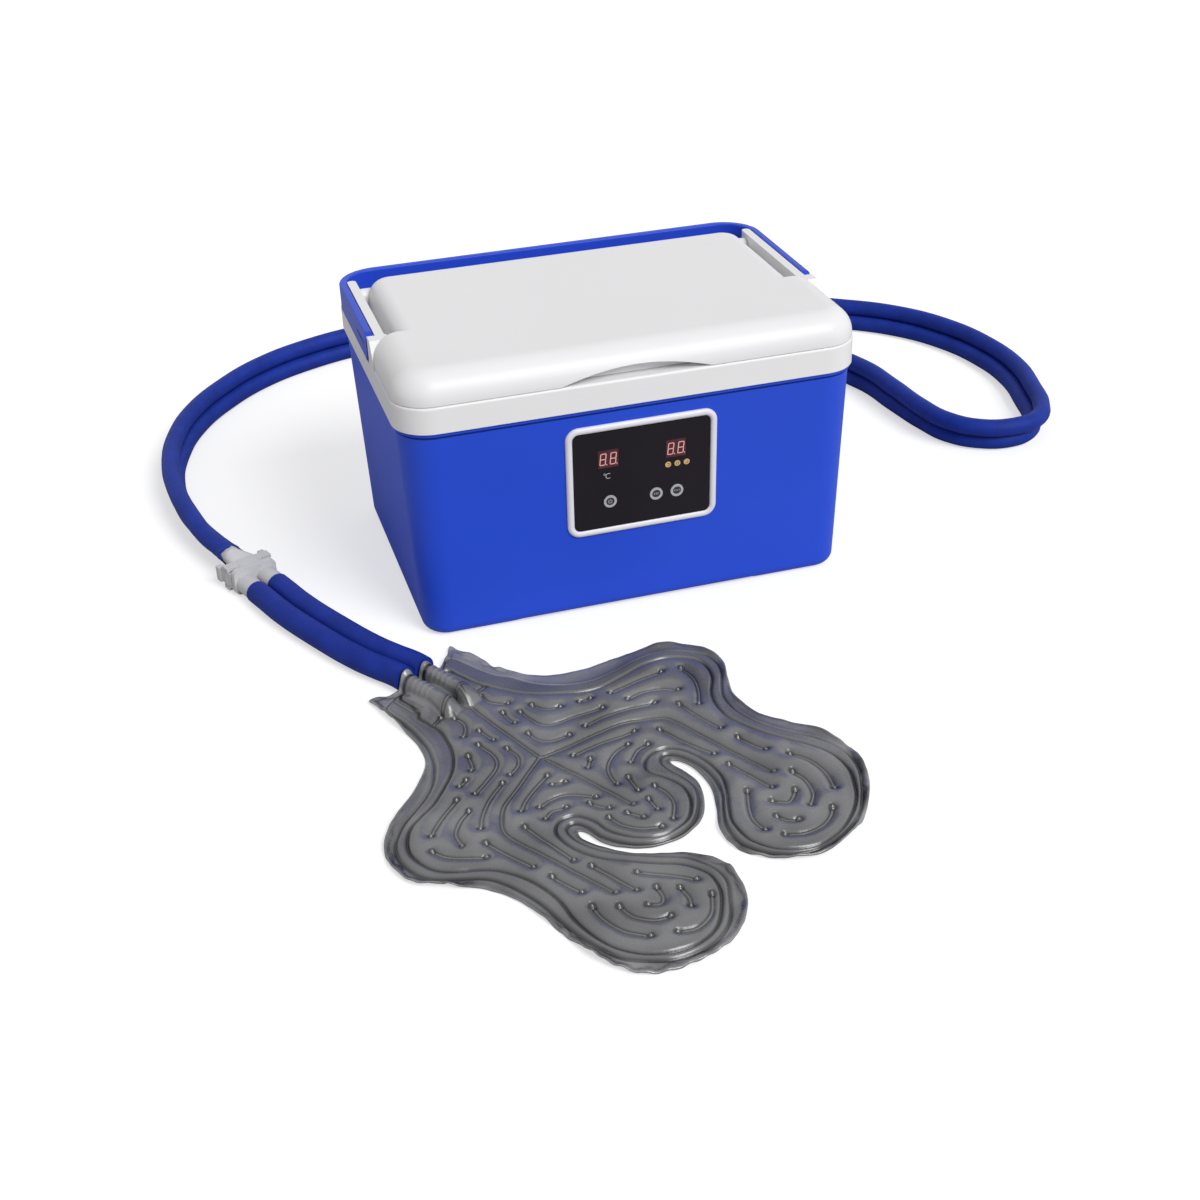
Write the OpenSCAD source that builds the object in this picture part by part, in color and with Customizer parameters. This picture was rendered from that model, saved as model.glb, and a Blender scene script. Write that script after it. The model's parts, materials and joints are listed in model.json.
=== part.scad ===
// Hot and cold therapy machine: an insulated water tank with a bail handle and
// a hinged lid, a pump and a heater under the tank, a control panel in the front
// wall, and a knee pad on twin hoses that unplug at a latched connector.
// Millimetres. X runs to the right along the front, Y to the back, Z up.
// The origin is on the floor, under the middle of the housing.

/* [Housing] */
// Width of the collar, the widest part of the housing
collar_w = 350; // [320:1:400]
// Depth of the collar, front to back
collar_d = 249; // [240:1:280]
// Radius of the collar's upright corners
collar_r = 28; // [24:1:34]
// Height of the collar's lower edge above the floor
collar_z = 170.5; // [165:0.5:210]
// Height of the collar's band up to the lid's parting line
collar_h = 20.2; // [18:0.2:26]
// Thickness of the collar's skirt and deck
collar_wall = 3; // [2:0.2:4]
// How far the shell steps in under the collar
shell_step = 2.5; // [2:0.1:4]
// How far each shell wall leans in from the collar to the floor
shell_taper = 6.5; // [3:0.5:9]
// Thickness of the shell's wall
shell_wall = 3; // [2.4:0.2:4]
// Radius of the shell's lower edge
base_edge_r = 9; // [5:0.5:12]
// Height of the ledge that runs round the shell under the collar
ledge_h = 3.4; // [2:0.2:6]
// How far that ledge stands out of the wall
ledge_out = 1.1; // [0.6:0.1:2]
// Height of the arch between the front feet
foot_arch_h = 3; // [1:0.5:4]
// Width of that arch
foot_arch_w = 210; // [120:5:240]

/* [Lid and handle] */
// Height of the lid above the parting line
lid_h = 22.5; // [20:0.5:32]
// Radius of the lid's front and side edges
lid_edge_r = 20; // [12:0.5:20]
// Radius of the lid's top edge beside the rails
lid_notch_r = 12; // [6:0.5:14]
// Thickness of the lid's outer shell
lid_wall = 3; // [2:0.2:4]
// Gap between a rail and the lid's narrower part beside it
rail_gap = 7; // [5:0.5:12]
// Opening angle of the finger grip's arch: its width at the parting line
grip_w = 112; // [80:2:140]
// Height of the finger grip's arch
grip_h = 9; // [6:0.5:11]
// How far the finger grip reaches into the lid
grip_depth = 11; // [8:0.5:14]
// Distance of the hinge axis in front of the collar's back
hinge_inset = 40.5; // [39:0.5:44]
// Height of the hinge axis above the parting line
hinge_rise = 8.3; // [8:0.1:9]
// Diameter of the hinge pins
hinge_pin_d = 8; // [6:0.5:9]
// Thickness of the bail's band
bail_t = 6; // [4:0.5:6]
// Height of the bail's band
bail_h = 22; // [18:0.5:22]
// Distance of the bail's pivot in front of the middle of the housing
bail_pivot_y = 11; // [5:0.5:12]
// Diameter of the bail's pivot pins
bail_pin_d = 10; // [8:0.5:12]
// Length of the slit that lets each bail arm flex
slit_l = 28; // [16:1:34]
// Radius of the bail's corners
bail_r = 32; // [26:0.5:33]
// Round of the bail's long edges
bail_edge_r = 1.4; // [0.6:0.2:2.4]
// Thickness of the rails beside the lid
rail_t = 6.9; // [5:0.1:7.5]
// Height of the rails and blocks above the parting line
rail_h = 18.4; // [16:0.2:20]

/* [Tank] */
// Distance of the tank's inner side walls from the collar's outer face
tank_side_gap = 29; // [29:0.5:36]
// Distance of the tank's inner front wall from the collar's outer face
tank_front_gap = 44.5; // [44.5:0.5:54]
// Distance of the tank's inner back wall from the collar's outer face
tank_back_gap = 52.5; // [52.5:0.5:60]
// Radius of the tank's upright corners
tank_r = 18; // [10:0.5:24]
// Height of the tank's floor above the ground
tank_floor_z = 50; // [48:0.5:60]
// Thickness of the tank's wall
tank_wall = 2.5; // [2:0.1:3]

/* [Control panel] */
// Width of the panel's frame
bezel_w = 116; // [112:0.5:130]
// Height of the panel's frame
bezel_h = 90; // [86:0.5:96]
// Width of the frame's border
bezel_rim = 5.3; // [4:0.1:7]
// How far the frame stands out of the shell
bezel_out = 2.6; // [1.5:0.1:4]
// Height of the panel's middle above the floor
panel_z = 112; // [100:0.5:114]
// Distance of the panel's middle to the right of the housing's middle
panel_x = 2.6; // [-20:0.2:20]
// Width and height of a display's window
display_size = [16, 15];
// Diameter of the three buttons
button_d = 10; // [8:0.2:12]
// Travel of the buttons
button_travel = 0.7; // [0.4:0.1:1]
// Depth of the electronics box behind the wall
box_depth = 26; // [24:0.5:27]

/* [Pump and heater] */
// Diameter of the pump's motor can
motor_d = 38; // [30:1:40]
// Diameter of the pump's volute
volute_d = 46; // [42:1:52]
// Diameter of the impeller
impeller_d = 30; // [24:1:32]
// Number of blades on the impeller
blade_count = 6; // [4:1:9]
// Diameter of the pump's ceramic shaft
shaft_d = 3; // [2:0.5:4]
// Length of the in-line heater
heater_l = 64; // [50:1:70]
// Diameter of the in-line heater
heater_d = 26; // [20:1:28]
// Outer diameter of the spigots inside the housing
spigot_d = 11; // [10:0.5:12]
// Bore of the spigots inside the housing
spigot_bore = 7; // [5:0.5:8]

/* [Hoses, connector and pad] */
// Diameter of each foam-covered machine hose
twin_od = 15.2; // [14:0.2:16.4]
// Diameter of each foam-covered pad hose
pad_hose_od = 18; // [16:0.5:19]
// Distance between the two hose ports
port_pitch = 22; // [20:0.5:26]
// Height of the lower hose port's axis
port_z = 16; // [15.5:0.5:18]
// Length of the connector's sleeves
sleeve_l = 18; // [14:1:22]
// Thickness of the pad's filled part
pad_t = 7; // [5:0.5:9]
// Thickness of the pad's two welded sheets at the rim
pad_rim_t = 1.8; // [1:0.1:2.5]
// Width of the pad's welded rim
pad_rim_w = 10; // [6:0.5:12]

/* [Hidden] */

smooth = 96;      // steps round a full circle
fit = 0.3;        // gap between parts that move past each other
slip = 0.08;      // radial play of a pin in its bore
cut = 1;          // how far a cutter runs past the face that it cuts
blue = [0.16, 0.24, 0.80];
dark_blue = [0.10, 0.13, 0.50];
white = [0.93, 0.93, 0.92];
black = [0.05, 0.05, 0.06];
grey = [0.45, 0.46, 0.48];

// Housing, worked out
corner_x = collar_w / 2 - collar_r;
corner_y = collar_d / 2 - collar_r;
shell_r = collar_r - shell_step;
foot_r = shell_r - shell_taper;
lean = atan(shell_taper / collar_z);
part_z = collar_z + collar_h;
shelf_z = part_z - 3.5;
rim_z = shelf_z - collar_wall;
rail_top = part_z + rail_h;
lid_top = part_z + fit + lid_h;
floor_t = 6;
cover_t = 2.2;
ledge_t = 3;
base_half = [corner_x - 11, corner_y - 12.5];
rebate = 8;
function wall_r(z) = foot_r + z * shell_taper / collar_z;

// Rails, blocks, bail and hinge
rail_out = collar_w / 2 - bail_t - 0.1;
rail_in = rail_out - rail_t;
rail_back = collar_d / 2 - 29;
bail_out = collar_w / 2 + 0.5;
bail_in = bail_out - bail_t;
bail_back = collar_d / 2 - 4;
bail_z = shelf_z + fit;
bail_mid_z = bail_z + bail_h / 2;
bail_front = -bail_pivot_y - bail_h / 2;
bail_end_r = 8;
block_back = bail_front - 1.8;
block_top_d = 10;
block_foot_d = 20;
block_in = rail_in - 1.5;
tank_half_w = collar_w / 2 - tank_side_gap;
tank_front = collar_d / 2 - tank_front_gap;
tank_back = collar_d / 2 - tank_back_gap;
flange_back = 8;
flange_front = 28;
flange_play = 0.4;
hinge_y = collar_d / 2 - hinge_inset;
deck_back = hinge_y - 2;
lid_neck = rail_in - rail_gap;
hinge_z = part_z + hinge_rise;
hinge_lug_r = 6.4;
lid_r = collar_r - 0.6;
lid_z = part_z + fit;
lid_back = hinge_y + 8;
lid_corner_r = 18;
lid_split = block_back - block_foot_d - 1.8;
plug_gap = 2.5;
plug_drop = 9;
gasket_w = 4;
gasket_half = [tank_half_w + 1.4, tank_front + 4, tank_back + 4];

// Control panel, worked out; its own frame has x to the right, y up the wall
// and z out of the wall, with z = 0 on the shell's face
panel_y = -(corner_y + wall_r(panel_z));
bezel_r = 10;
bezel_bead = 1.7;
plate_r = bezel_r - bezel_rim;
neck_w = bezel_w - 8.6;
neck_h = bezel_h - 8.6;
neck_d = 8;
neck_wall = 3.2;
plate_t = 2.4;
plate_top = bezel_out - 0.6;
plate_back = plate_top - plate_t;
display_x = 26;
display_y = 17.3;
led_y = 4.6;
led_pitch = 7.2;
led_x = 27;
led_d = 4.6;
button_y = -18;
power_x = -25.3;
mode_x = 10.4;
time_x = 26.6;
board_t = 1.6;
board_top = -10.4;
post_x = 44;
post_y = 31;
box_wall = 1.8;
tray_side = 7;
screw_x = bezel_w / 2 + 3.5;
screw_y = 30;
hook_y = 22;
hook_w = 8;
hook_z = 6.9;
stem_d = 3;
switch_top = -5.6;

// Pump, heater and tubes
cover_top = ledge_t;
pump_at = [-30, 20];
volute_z = cover_top + 17;
volute_h = 14;
chamber_d = impeller_d + 4;
chamber_z = volute_z + 2.5;
chamber_h = 9;
inlet_z = volute_z + volute_h;
outlet_y = pump_at[1] + 12;
outlet_z = chamber_z + chamber_h - spigot_d / 2 - 0.2;
outlet_end = pump_at[0] + 28;
heater_x = outlet_end + 26;
heater_end = heater_x + heater_l;
spigot_l = 12;
tube_od = spigot_d + 4;
saddle_t = 6;
saddle_w = 18;

// Hose ports in the back wall
end_gap = 0.05;      // gap between a tube's end and what it meets
port_x = corner_x - 37;
port_top_z = port_z + port_pitch;
boss_face = corner_y + wall_r(port_top_z) + 2.5;
boss_back = boss_face - 7;
port_flange_t = 3;
port_flange_d = 20;
port_body_d = 14;
port_nut_t = 4;
port_barb_d = 10;
hose_start = boss_face + port_flange_t;
port_inner = boss_back - 20.5;
inlet_at = [-port_x, 27];
inlet_inner = boss_back - 8.5;
inlet_d = 12;
inlet_flange_d = 18;
return_elbow_y = boss_back - 11.5;
return_nozzle_z = tank_floor_z + 36;

// Connector: its frame has x along the hoses, away from the machine, with x = 0
// where the pad hoses begin
plug_at = [-271, -10.5];
plug_angle = -69;
function plug_point(x, y = 0) = plug_at
  + x * [cos(plug_angle), sin(plug_angle)] + y * [-sin(plug_angle), cos(plug_angle)];
sleeve_y = pad_hose_od / 2 + 0.1;
sleeve_z = pad_hose_od / 2;
sleeve_d = pad_hose_od - 1.5;
flange_x = -sleeve_l - 5;
socket_l = 15;
hood_x = flange_x - socket_l;
hood_end = -60;
hood_lean = 38;
latch_pin_x = flange_x - 8;
latch_y = 16.4;
body_half = latch_y - 4.4;
latch_pin_d = 2.4;
latch_l = 17;
latch_h = 12;
latch_t = 3.6;

// Route of the machine hoses on the floor, midway between the two: [x, y, height
// of the lower hose's middle, distance between the hoses, their lean outwards]
twin_r = twin_od / 2;
twin_pitch = twin_od + 0.1;
twin_route = [
  [port_x, hose_start + end_gap, port_z, port_pitch, 0],
  [port_x, hose_start + 14, port_z, port_pitch, 0], [111, 166, 12.5, 19.5, 0],
  [119, 208, twin_r, 16.5, 0], [152, 251, twin_r, twin_pitch, 5],
  [205, 273, twin_r, twin_pitch, 5], [260, 266, twin_r, twin_pitch, 5],
  [303, 234, twin_r, twin_pitch, 0], [325, 188, twin_r, twin_pitch, 0],
  [332, 136, twin_r, twin_pitch, 0], [338, 88, twin_r, twin_pitch, 10],
  [347, 56, twin_r, twin_pitch, 15], [367, 34, twin_r, twin_pitch, 20],
  [395, 26, twin_r, twin_pitch, 20], [421, 35, twin_r, twin_pitch, 25],
  [438, 60, twin_r, twin_pitch, 30], [449, 94, twin_r, twin_pitch, 35],
  [461, 146, twin_r, twin_pitch, 35], [459.5, 199.5, twin_r, twin_pitch, 30],
  [444, 254, twin_r, twin_pitch, 20], [413, 304, twin_r, twin_pitch, 20],
  [366, 343, twin_r, twin_pitch, 15], [313, 374, twin_r, twin_pitch, 10],
  [200, 424, twin_r, twin_pitch, 10], [78, 455, twin_r, twin_pitch, 10],
  [-50, 460, twin_r, twin_pitch, 10], [-112, 453, twin_r, twin_pitch, 10],
  [-168, 435.5, twin_r, twin_pitch, 15], [-218, 407, twin_r, twin_pitch, 15],
  [-259, 367, twin_r, twin_pitch, 15], [-292.5, 318.5, twin_r, twin_pitch, 15],
  [-313.5, 264, twin_r, twin_pitch, 15], [-323, 208, twin_r, twin_pitch, 10],
  [-321.5, 154, twin_r, twin_pitch, 14], [-314, 110.5, twin_r, twin_pitch, 23],
  [each plug_point(hood_end - 30), twin_r, twin_pitch, hood_lean],
  [each plug_point(hood_end - end_gap), twin_r, twin_pitch, hood_lean]];

// Pad: its frame has its origin at the neck and v along its middle, away from
// the connector; the neck's two barbs lie a little to one side of that middle
pad_at = [-188.5, -155.1];
pad_along = -61;
function pad_point(u, v) = pad_at
  + u * [-sin(pad_along), cos(pad_along)] + v * [cos(pad_along), sin(pad_along)];
neck_u = -6.5;
barb_u = pad_hose_od / 2 + 0.1;
barb_v = 14;
barb_l = 44;
barb_d = 9;
barb_z = pad_hose_od / 2;
neck_tube_d = 16.5;
// The pad's outline as it lies, round from the left corner of its neck
pad_corners = [[-44, 7.5], [-36, 11], [-29, 14.6], [-20, 15.8], [-6.5, 15.6], [8, 15.6],
  [17, 14], [30, 7], [41.5, -2.2], [43, 14], [44, 31], [46, 49], [53, 67], [67, 82],
  [86, 92], [109, 99], [133, 105], [153, 116], [163, 137], [160, 160], [145, 179],
  [131, 198], [126, 221], [132, 244], [138, 269], [135, 295], [120, 319], [96, 338],
  [67, 350], [37, 349], [15, 334], [4, 309], [10, 287], [27, 269], [41, 252], [48, 233],
  [48, 220], [44.5, 214.5], [41, 219], [41, 232], [38, 245], [27, 259], [14, 269],
  [0, 273], [-15, 273], [-30, 266], [-42, 253], [-48, 240], [-47.5, 226], [-50, 221],
  [-53.5, 228], [-51, 243], [-43, 260], [-30, 276], [-17, 292], [-13, 310], [-21, 332],
  [-40, 350], [-67, 358], [-96, 352], [-118, 337], [-126, 314], [-125, 291], [-122, 265],
  [-121, 240], [-127, 217], [-141, 200], [-153, 182], [-153, 164], [-146, 146],
  [-131, 131], [-109, 119], [-86, 108], [-66, 93], [-56, 74], [-52, 55], [-49, 37],
  [-46, 20]];

// Middle line between the two pad hoses on the floor, and one hose beside it
pad_hose_mid = [plug_point(end_gap * 2), plug_point(12), [-256.4, -49], [-236.2, -91.4],
  [-214.5, -131], [-203.6, -146.8], pad_point(neck_u, barb_v - 10),
  pad_point(neck_u, barb_v - end_gap * 2)];
function floor_side(p, i) = let (d = path_dir(p, i)) [-d[1], d[0]];
function pad_hose_route(s) = [for (i = [0 : len(pad_hose_mid) - 1])
  [each pad_hose_mid[i] + s * sleeve_y * floor_side(pad_hose_mid, i), sleeve_z]];

// Places of the wires inside the housing
pump_wire = [[-20, -100, 69.5], [-20, -99, 56], [-21, -92, 40], [-24, -74, 27],
  [-28, -42, 17], [-30, -16, 12], [-30, 0.8, 11]];
inlet_wire = [[inlet_at[0], inlet_inner - end_gap, inlet_at[1]],
  [inlet_at[0], inlet_inner - 12, inlet_at[1]], [-104, 60, 20], [-84, 10, 12],
  [-62, -50, 17], [-50, -82, 27], [-46, -97, 44], [-46, -100, 69.5]];

// ---- Shapes that repeat ----

// A solid whose profile, drawn as radius and height, follows a rectangle with
// round corners; hx and hy are half the distances between the corner centres
module sweep_round(hx, hy) {
  for (sx = [0, 1], sy = [0, 1])
    mirror([sx, 0, 0]) mirror([0, sy, 0]) translate([hx, hy, 0])
      rotate_extrude(angle = 90, $fn = smooth) children();
  for (sy = [0, 1])
    mirror([0, sy, 0]) translate([-hx, hy, 0])
      rotate([90, 0, 90]) linear_extrude(2 * hx) children();
  for (sx = [0, 1])
    mirror([sx, 0, 0]) translate([hx, hy, 0])
      rotate([90, 0, 0]) linear_extrude(2 * hy) children();
}

// A flat rectangle with round corners
module round_rect(w, h, r) {
  square([w - 2 * r, h], center = true);
  square([w, h - 2 * r], center = true);
  for (sx = [-1, 1], sy = [-1, 1])
    translate([sx * (w / 2 - r), sy * (h / 2 - r)]) circle(r, $fn = smooth);
}

// A box with round upright corners between two opposite corners
module round_box(low, high, r) {
  size = high - low;
  translate([low[0] + size[0] / 2, low[1] + size[1] / 2, low[2]])
    linear_extrude(size[2]) round_rect(size[0], size[1], r);
}

module box(low, high) {
  translate(low) cube(high - low);
}

module both_sides() {
  children();
  mirror([1, 0, 0]) children();
}

// Places its children in the panel's frame
module on_panel() {
  translate([panel_x, panel_y, panel_z]) rotate([90 + lean, 0, 0]) children();
}

// Places its children in the connector's frame
module on_connector() {
  translate([plug_at[0], plug_at[1], 0]) rotate([0, 0, plug_angle]) children();
}

// A cylinder along X that starts at x
module rod_x(x, y, z, d, l) {
  translate([x, y, z]) rotate([0, 90, 0]) cylinder(d = d, h = l, $fn = smooth);
}

// A cylinder along Y that starts at y
module rod_y(x, y, z, d, l) {
  translate([x, y, z]) rotate([-90, 0, 0]) cylinder(d = d, h = l, $fn = smooth);
}

// A tube along a list of points: one polyhedron with a ring at each point, each
// ring square to the path
function unit(v) = v / norm(v);
function path_dir(p, i) = unit(p[min(i + 1, len(p) - 1)] - p[max(i - 1, 0)]);
function ring_side(d) = unit(abs(d[2]) < 0.9 ? cross([0, 0, 1], d) : cross([0, 1, 0], d));
function ring_points(p, i, r, n) =
  let (d = path_dir(p, i), s = ring_side(d), u = cross(d, s))
  [for (k = [0 : n - 1]) p[i] + r * (cos(360 * k / n) * u + sin(360 * k / n) * s)];
module tube_along(p, d, n = 10) {
  points = [for (i = [0 : len(p) - 1]) each ring_points(p, i, d / 2, n)];
  sides = [for (i = [0 : len(p) - 2], k = [0 : n - 1])
    [i * n + k, i * n + (k + 1) % n, (i + 1) * n + (k + 1) % n, (i + 1) * n + k]];
  ends = [[for (k = [n - 1 : -1 : 0]) k], [for (k = [0 : n - 1]) (len(p) - 1) * n + k]];
  polyhedron(points, concat(sides, ends));
}

// ---- Housing ----

// Outline of the shell's wall and floor, as radius and height: the leaning wall,
// its round lower edge, the ledge and the rim inside the collar
module shell_outline() {
  edge_x = wall_r(base_edge_r) - base_edge_r / cos(lean);
  polygon([[0, 0], [edge_x, 0], [edge_x, base_edge_r],
    [edge_x + base_edge_r * cos(lean), base_edge_r * (1 - sin(lean))],
    [wall_r(collar_z - ledge_h), collar_z - ledge_h],
    [wall_r(collar_z - ledge_h) + ledge_out, collar_z - ledge_h + ledge_out / 2],
    [shell_r + ledge_out, collar_z], [shell_r, collar_z], [shell_r, rim_z], [0, rim_z]]);
  translate([edge_x, base_edge_r]) circle(base_edge_r, $fn = smooth);
}

module shell_profile() {
  difference() {
    shell_outline();
    polygon([[-cut, floor_t], [wall_r(floor_t) - shell_wall, floor_t],
      [shell_r - shell_wall, collar_z], [shell_r - shell_wall, rim_z + cut], [-cut, rim_z + cut]]);
  }
}

module foot_arch() {
  slope = 12;
  translate([0, -corner_y - foot_r + base_half[1] / 2 - cut, 0]) rotate([90, 0, 0])
    linear_extrude(base_half[1]) polygon([[-foot_arch_w / 2, -cut], [foot_arch_w / 2, -cut],
      [foot_arch_w / 2, 0], [foot_arch_w / 2 - slope, foot_arch_h],
      [-foot_arch_w / 2 + slope, foot_arch_h], [-foot_arch_w / 2, 0]]);
}

module base_screw_places() {
  for (x = [-1, 0, 1] * (base_half[0] - 16), s = [-1, 1])
    translate([x, s * (base_half[1] + rebate / 2), 0]) children();
}

module outer_shell() {
  boss_r = port_flange_d / 2 + 2;
  color(blue) difference() {
    union() {
      sweep_round(corner_x, corner_y) shell_profile();
      box([-corner_x, -corner_y, 0], [corner_x, corner_y, floor_t]);
      // Seat of the two hose ports
      for (z = [port_z, port_top_z])
        rod_y(port_x, boss_back, z, 2 * boss_r, boss_face - boss_back);
      box([port_x - boss_r, boss_back, port_z], [port_x + boss_r, boss_face, port_top_z]);
      rod_y(inlet_at[0], boss_back, inlet_at[1], inlet_flange_d + 3, boss_face - boss_back);
    }
    // Opening of the base cover and its rebate
    round_box([-base_half[0], -base_half[1], -cut], [base_half[0], base_half[1], floor_t + cut], 10);
    round_box([-base_half[0] - rebate, -base_half[1] - rebate, -cut],
      [base_half[0] + rebate, base_half[1] + rebate, ledge_t], 12);
    base_screw_places() cylinder(d = 3, h = floor_t + cut, $fn = smooth);
    foot_arch();
    on_panel() translate([0, 0, -shell_wall * 2]) linear_extrude(shell_wall * 3)
      round_rect(neck_w + 0.6, neck_h + 0.6, 6);
    on_panel() panel_screw_places() translate([0, 0, -shell_wall * 2])
      cylinder(d = 2.5, h = shell_wall * 2 - 0.8, $fn = smooth);
    for (z = [port_z, port_top_z])
      rod_y(port_x, boss_back - cut, z, port_body_d + 0.2, boss_face - boss_back + 2 * cut);
    rod_y(inlet_at[0], boss_back - cut, inlet_at[1], inlet_d + 0.2, boss_face - boss_back + 2 * cut);
  }
}

// The cover carries the pump's seat and the heater's two saddles
module base_cover() {
  color(black) difference() {
    union() {
      round_box([-base_half[0] - rebate + 0.4, -base_half[1] - rebate + 0.4, ledge_t - cover_t],
        [base_half[0] + rebate - 0.4, base_half[1] + rebate - 0.4, ledge_t], 11.6);
      for (x = [heater_x + 10, heater_end - 10 - saddle_t])
        box([x, outlet_y - saddle_w / 2, ledge_t - 0.5],
          [x + saddle_t, outlet_y + saddle_w / 2, outlet_z - heater_d / 2 + 2]);
    }
    rod_x(heater_x, outlet_y, outlet_z, heater_d + 0.2, heater_l);
    base_screw_places() cylinder(d = 3.4, h = floor_t, $fn = smooth);
    base_screw_places() cylinder(d = 6.4, h = ledge_t - 1, $fn = smooth);
  }
}

module base_screws() {
  color(grey) base_screw_places() {
    translate([0, 0, 0.4]) cylinder(d = 5.8, h = 1.6, $fn = smooth);
    cylinder_from = 2;
    translate([0, 0, cylinder_from]) cylinder(d = 2.9, h = floor_t - cylinder_from, $fn = smooth);
  }
}

// White tank with a flange that hangs under the collar's deck
module inner_liner() {
  w = tank_half_w;
  top = part_z - collar_wall;
  outlet = [pump_at[0], pump_at[1]];
  color(white) difference() {
    union() {
      round_box([-w - tank_wall, -tank_front - tank_wall, tank_floor_z - tank_wall],
        [w + tank_wall, tank_back + tank_wall, top], tank_r + tank_wall);
      round_box([-rail_in - 2, -tank_front - flange_front, top - 3],
        [rail_in + 2, tank_back + flange_back, top], tank_r + 8);
      // Outlet to the pump and inlet of the returning water
      translate([outlet[0], outlet[1], inlet_z + 8.5])
        cylinder(d = spigot_d, h = tank_floor_z - inlet_z - 9, $fn = smooth);
      rod_y(port_x, tank_back, return_nozzle_z, spigot_d, spigot_l);
    }
    round_box([-w, -tank_front, tank_floor_z], [w, tank_back, top + cut], tank_r);
    translate([outlet[0], outlet[1], inlet_z]) cylinder(d = spigot_bore, h = tank_floor_z, $fn = smooth);
    rod_y(port_x, tank_back - cut, return_nozzle_z, spigot_bore, spigot_l + 2 * cut);
    rod_y(probe_x, -tank_front - tank_wall - cut, probe_z, 5.1, tank_wall + 2 * cut);
  }
}
probe_x = 40;
probe_l = 22;
probe_z = tank_floor_z + 14;

// Foam boards between the tank and the shell
module insulation() {
  out_x = corner_x + wall_r(tank_floor_z) - shell_wall - 0.4;
  out_y = corner_y + wall_r(tank_floor_z) - shell_wall - 0.4;
  side = tank_half_w + tank_wall + 0.2;
  low = tank_floor_z + 2;
  high = part_z - collar_wall - 3.4;
  panel_side = bezel_w / 2 + tray_side + 3;
  color([0.96, 0.93, 0.80]) {
    both_sides() box([side, -tank_front + 4, low], [out_x, tank_back - 4, high]);
    box([-side + 14, tank_back + tank_wall + 0.2, low], [port_x - 22, out_y, high]);
    for (s = [-1, 1]) {
      edge = panel_x + s * panel_side;
      box([min(edge, s * (side - 14)), -out_y, low],
        [max(edge, s * (side - 14)), -tank_front - tank_wall - 0.2, high]);
    }
  }
}

// Side view of a collar block, as distance along Y and height
module block_outline() {
  polygon([[block_back, part_z - 1], [block_back, rail_top], [block_back - block_top_d, rail_top],
    [block_back - block_foot_d, part_z], [block_back - block_foot_d, part_z - 1]]);
}

// Outer outline of the collar's band, with a small round on its upper edge
module collar_band() {
  top_r = 2;
  square([collar_r - top_r, part_z]);
  square([collar_r, part_z - top_r]);
  translate([collar_r - top_r, part_z - top_r]) circle(top_r, $fn = smooth);
}

// White rim: band, deck, the shelf that the bail lies on, rails and blocks
module collar() {
  color(white) difference() {
    union() {
      difference() {
        union() {
          intersection() {
            sweep_round(corner_x, corner_y) collar_band();
            box([-collar_w, -collar_d, collar_z], [collar_w, collar_d, part_z + cut]);
          }
          box([-corner_x, -corner_y, collar_z], [corner_x, corner_y, part_z]);
        }
        // Shelf of the bail, outside and behind the raised deck
        difference() {
          box([-collar_w, block_back, shelf_z], [collar_w, collar_d, part_z + cut]);
          box([-rail_out, -collar_d, 0], [rail_out, deck_back, part_z + 2 * cut]);
        }
        // Room for the shell's rim, and for the tank's flange under the deck
        intersection() {
          sweep_round(corner_x, corner_y) translate([0, -cut]) square([shell_r + 0.1, collar_z * 2]);
          box([-collar_w, -collar_d, 0], [collar_w, collar_d, rim_z + 0.1]);
        }
        box([-corner_x, -corner_y, 0], [corner_x, corner_y, rim_z + 0.1]);
        round_box([-rail_in - 2 - flange_play, -tank_front - flange_front - flange_play, 0],
          [rail_in + 2 + flange_play, tank_back + flange_back + flange_play, part_z - collar_wall],
          tank_r + 8 + flange_play);
        round_box([-tank_half_w, -tank_front, 0], [tank_half_w, tank_back, part_z + cut], tank_r);
      }
      both_sides() {
        translate([rail_in, block_back, part_z - 1]) cube([rail_t, rail_back - block_back - rail_t / 2,
          rail_top - part_z + 1]);
        translate([rail_in + rail_t / 2, rail_back - rail_t / 2, part_z - 1])
          cylinder(d = rail_t, h = rail_top - part_z + 1, $fn = smooth);
        translate([block_in, 0, 0]) rotate([90, 0, 90])
          linear_extrude(collar_w / 2 - block_in) block_outline();
      }
    }
    // Bores of the bail's pins and of the hinge pins
    both_sides() {
      rod_x(rail_in - cut, -bail_pivot_y, bail_mid_z, bail_pin_d, rail_t + 2 * cut);
      rod_x(rail_in - cut, hinge_y, hinge_z, hinge_pin_d, rail_t + 2 * cut);
    }
    // Room for the bail's turning ends
    both_sides() rod_x(rail_out, -bail_pivot_y, bail_mid_z, 2 * bail_reach, collar_w);
  }
}
bail_reach = norm([bail_h / 2 - bail_end_r, bail_h / 2 - bail_end_r]) + bail_end_r + fit;

// ---- Lid ----

// Half of the lid's cross-section: upright wall, then the round upper edge
module lid_outline(r, edge, low, high) {
  translate([0, low]) square([r - edge, high - low]);
  translate([0, low]) square([r, high - low - edge]);
  intersection() {
    translate([r - edge, high - edge]) circle(edge, $fn = smooth);
    translate([0, low]) square([r + cut, high - low + cut]);
  }
}

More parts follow.
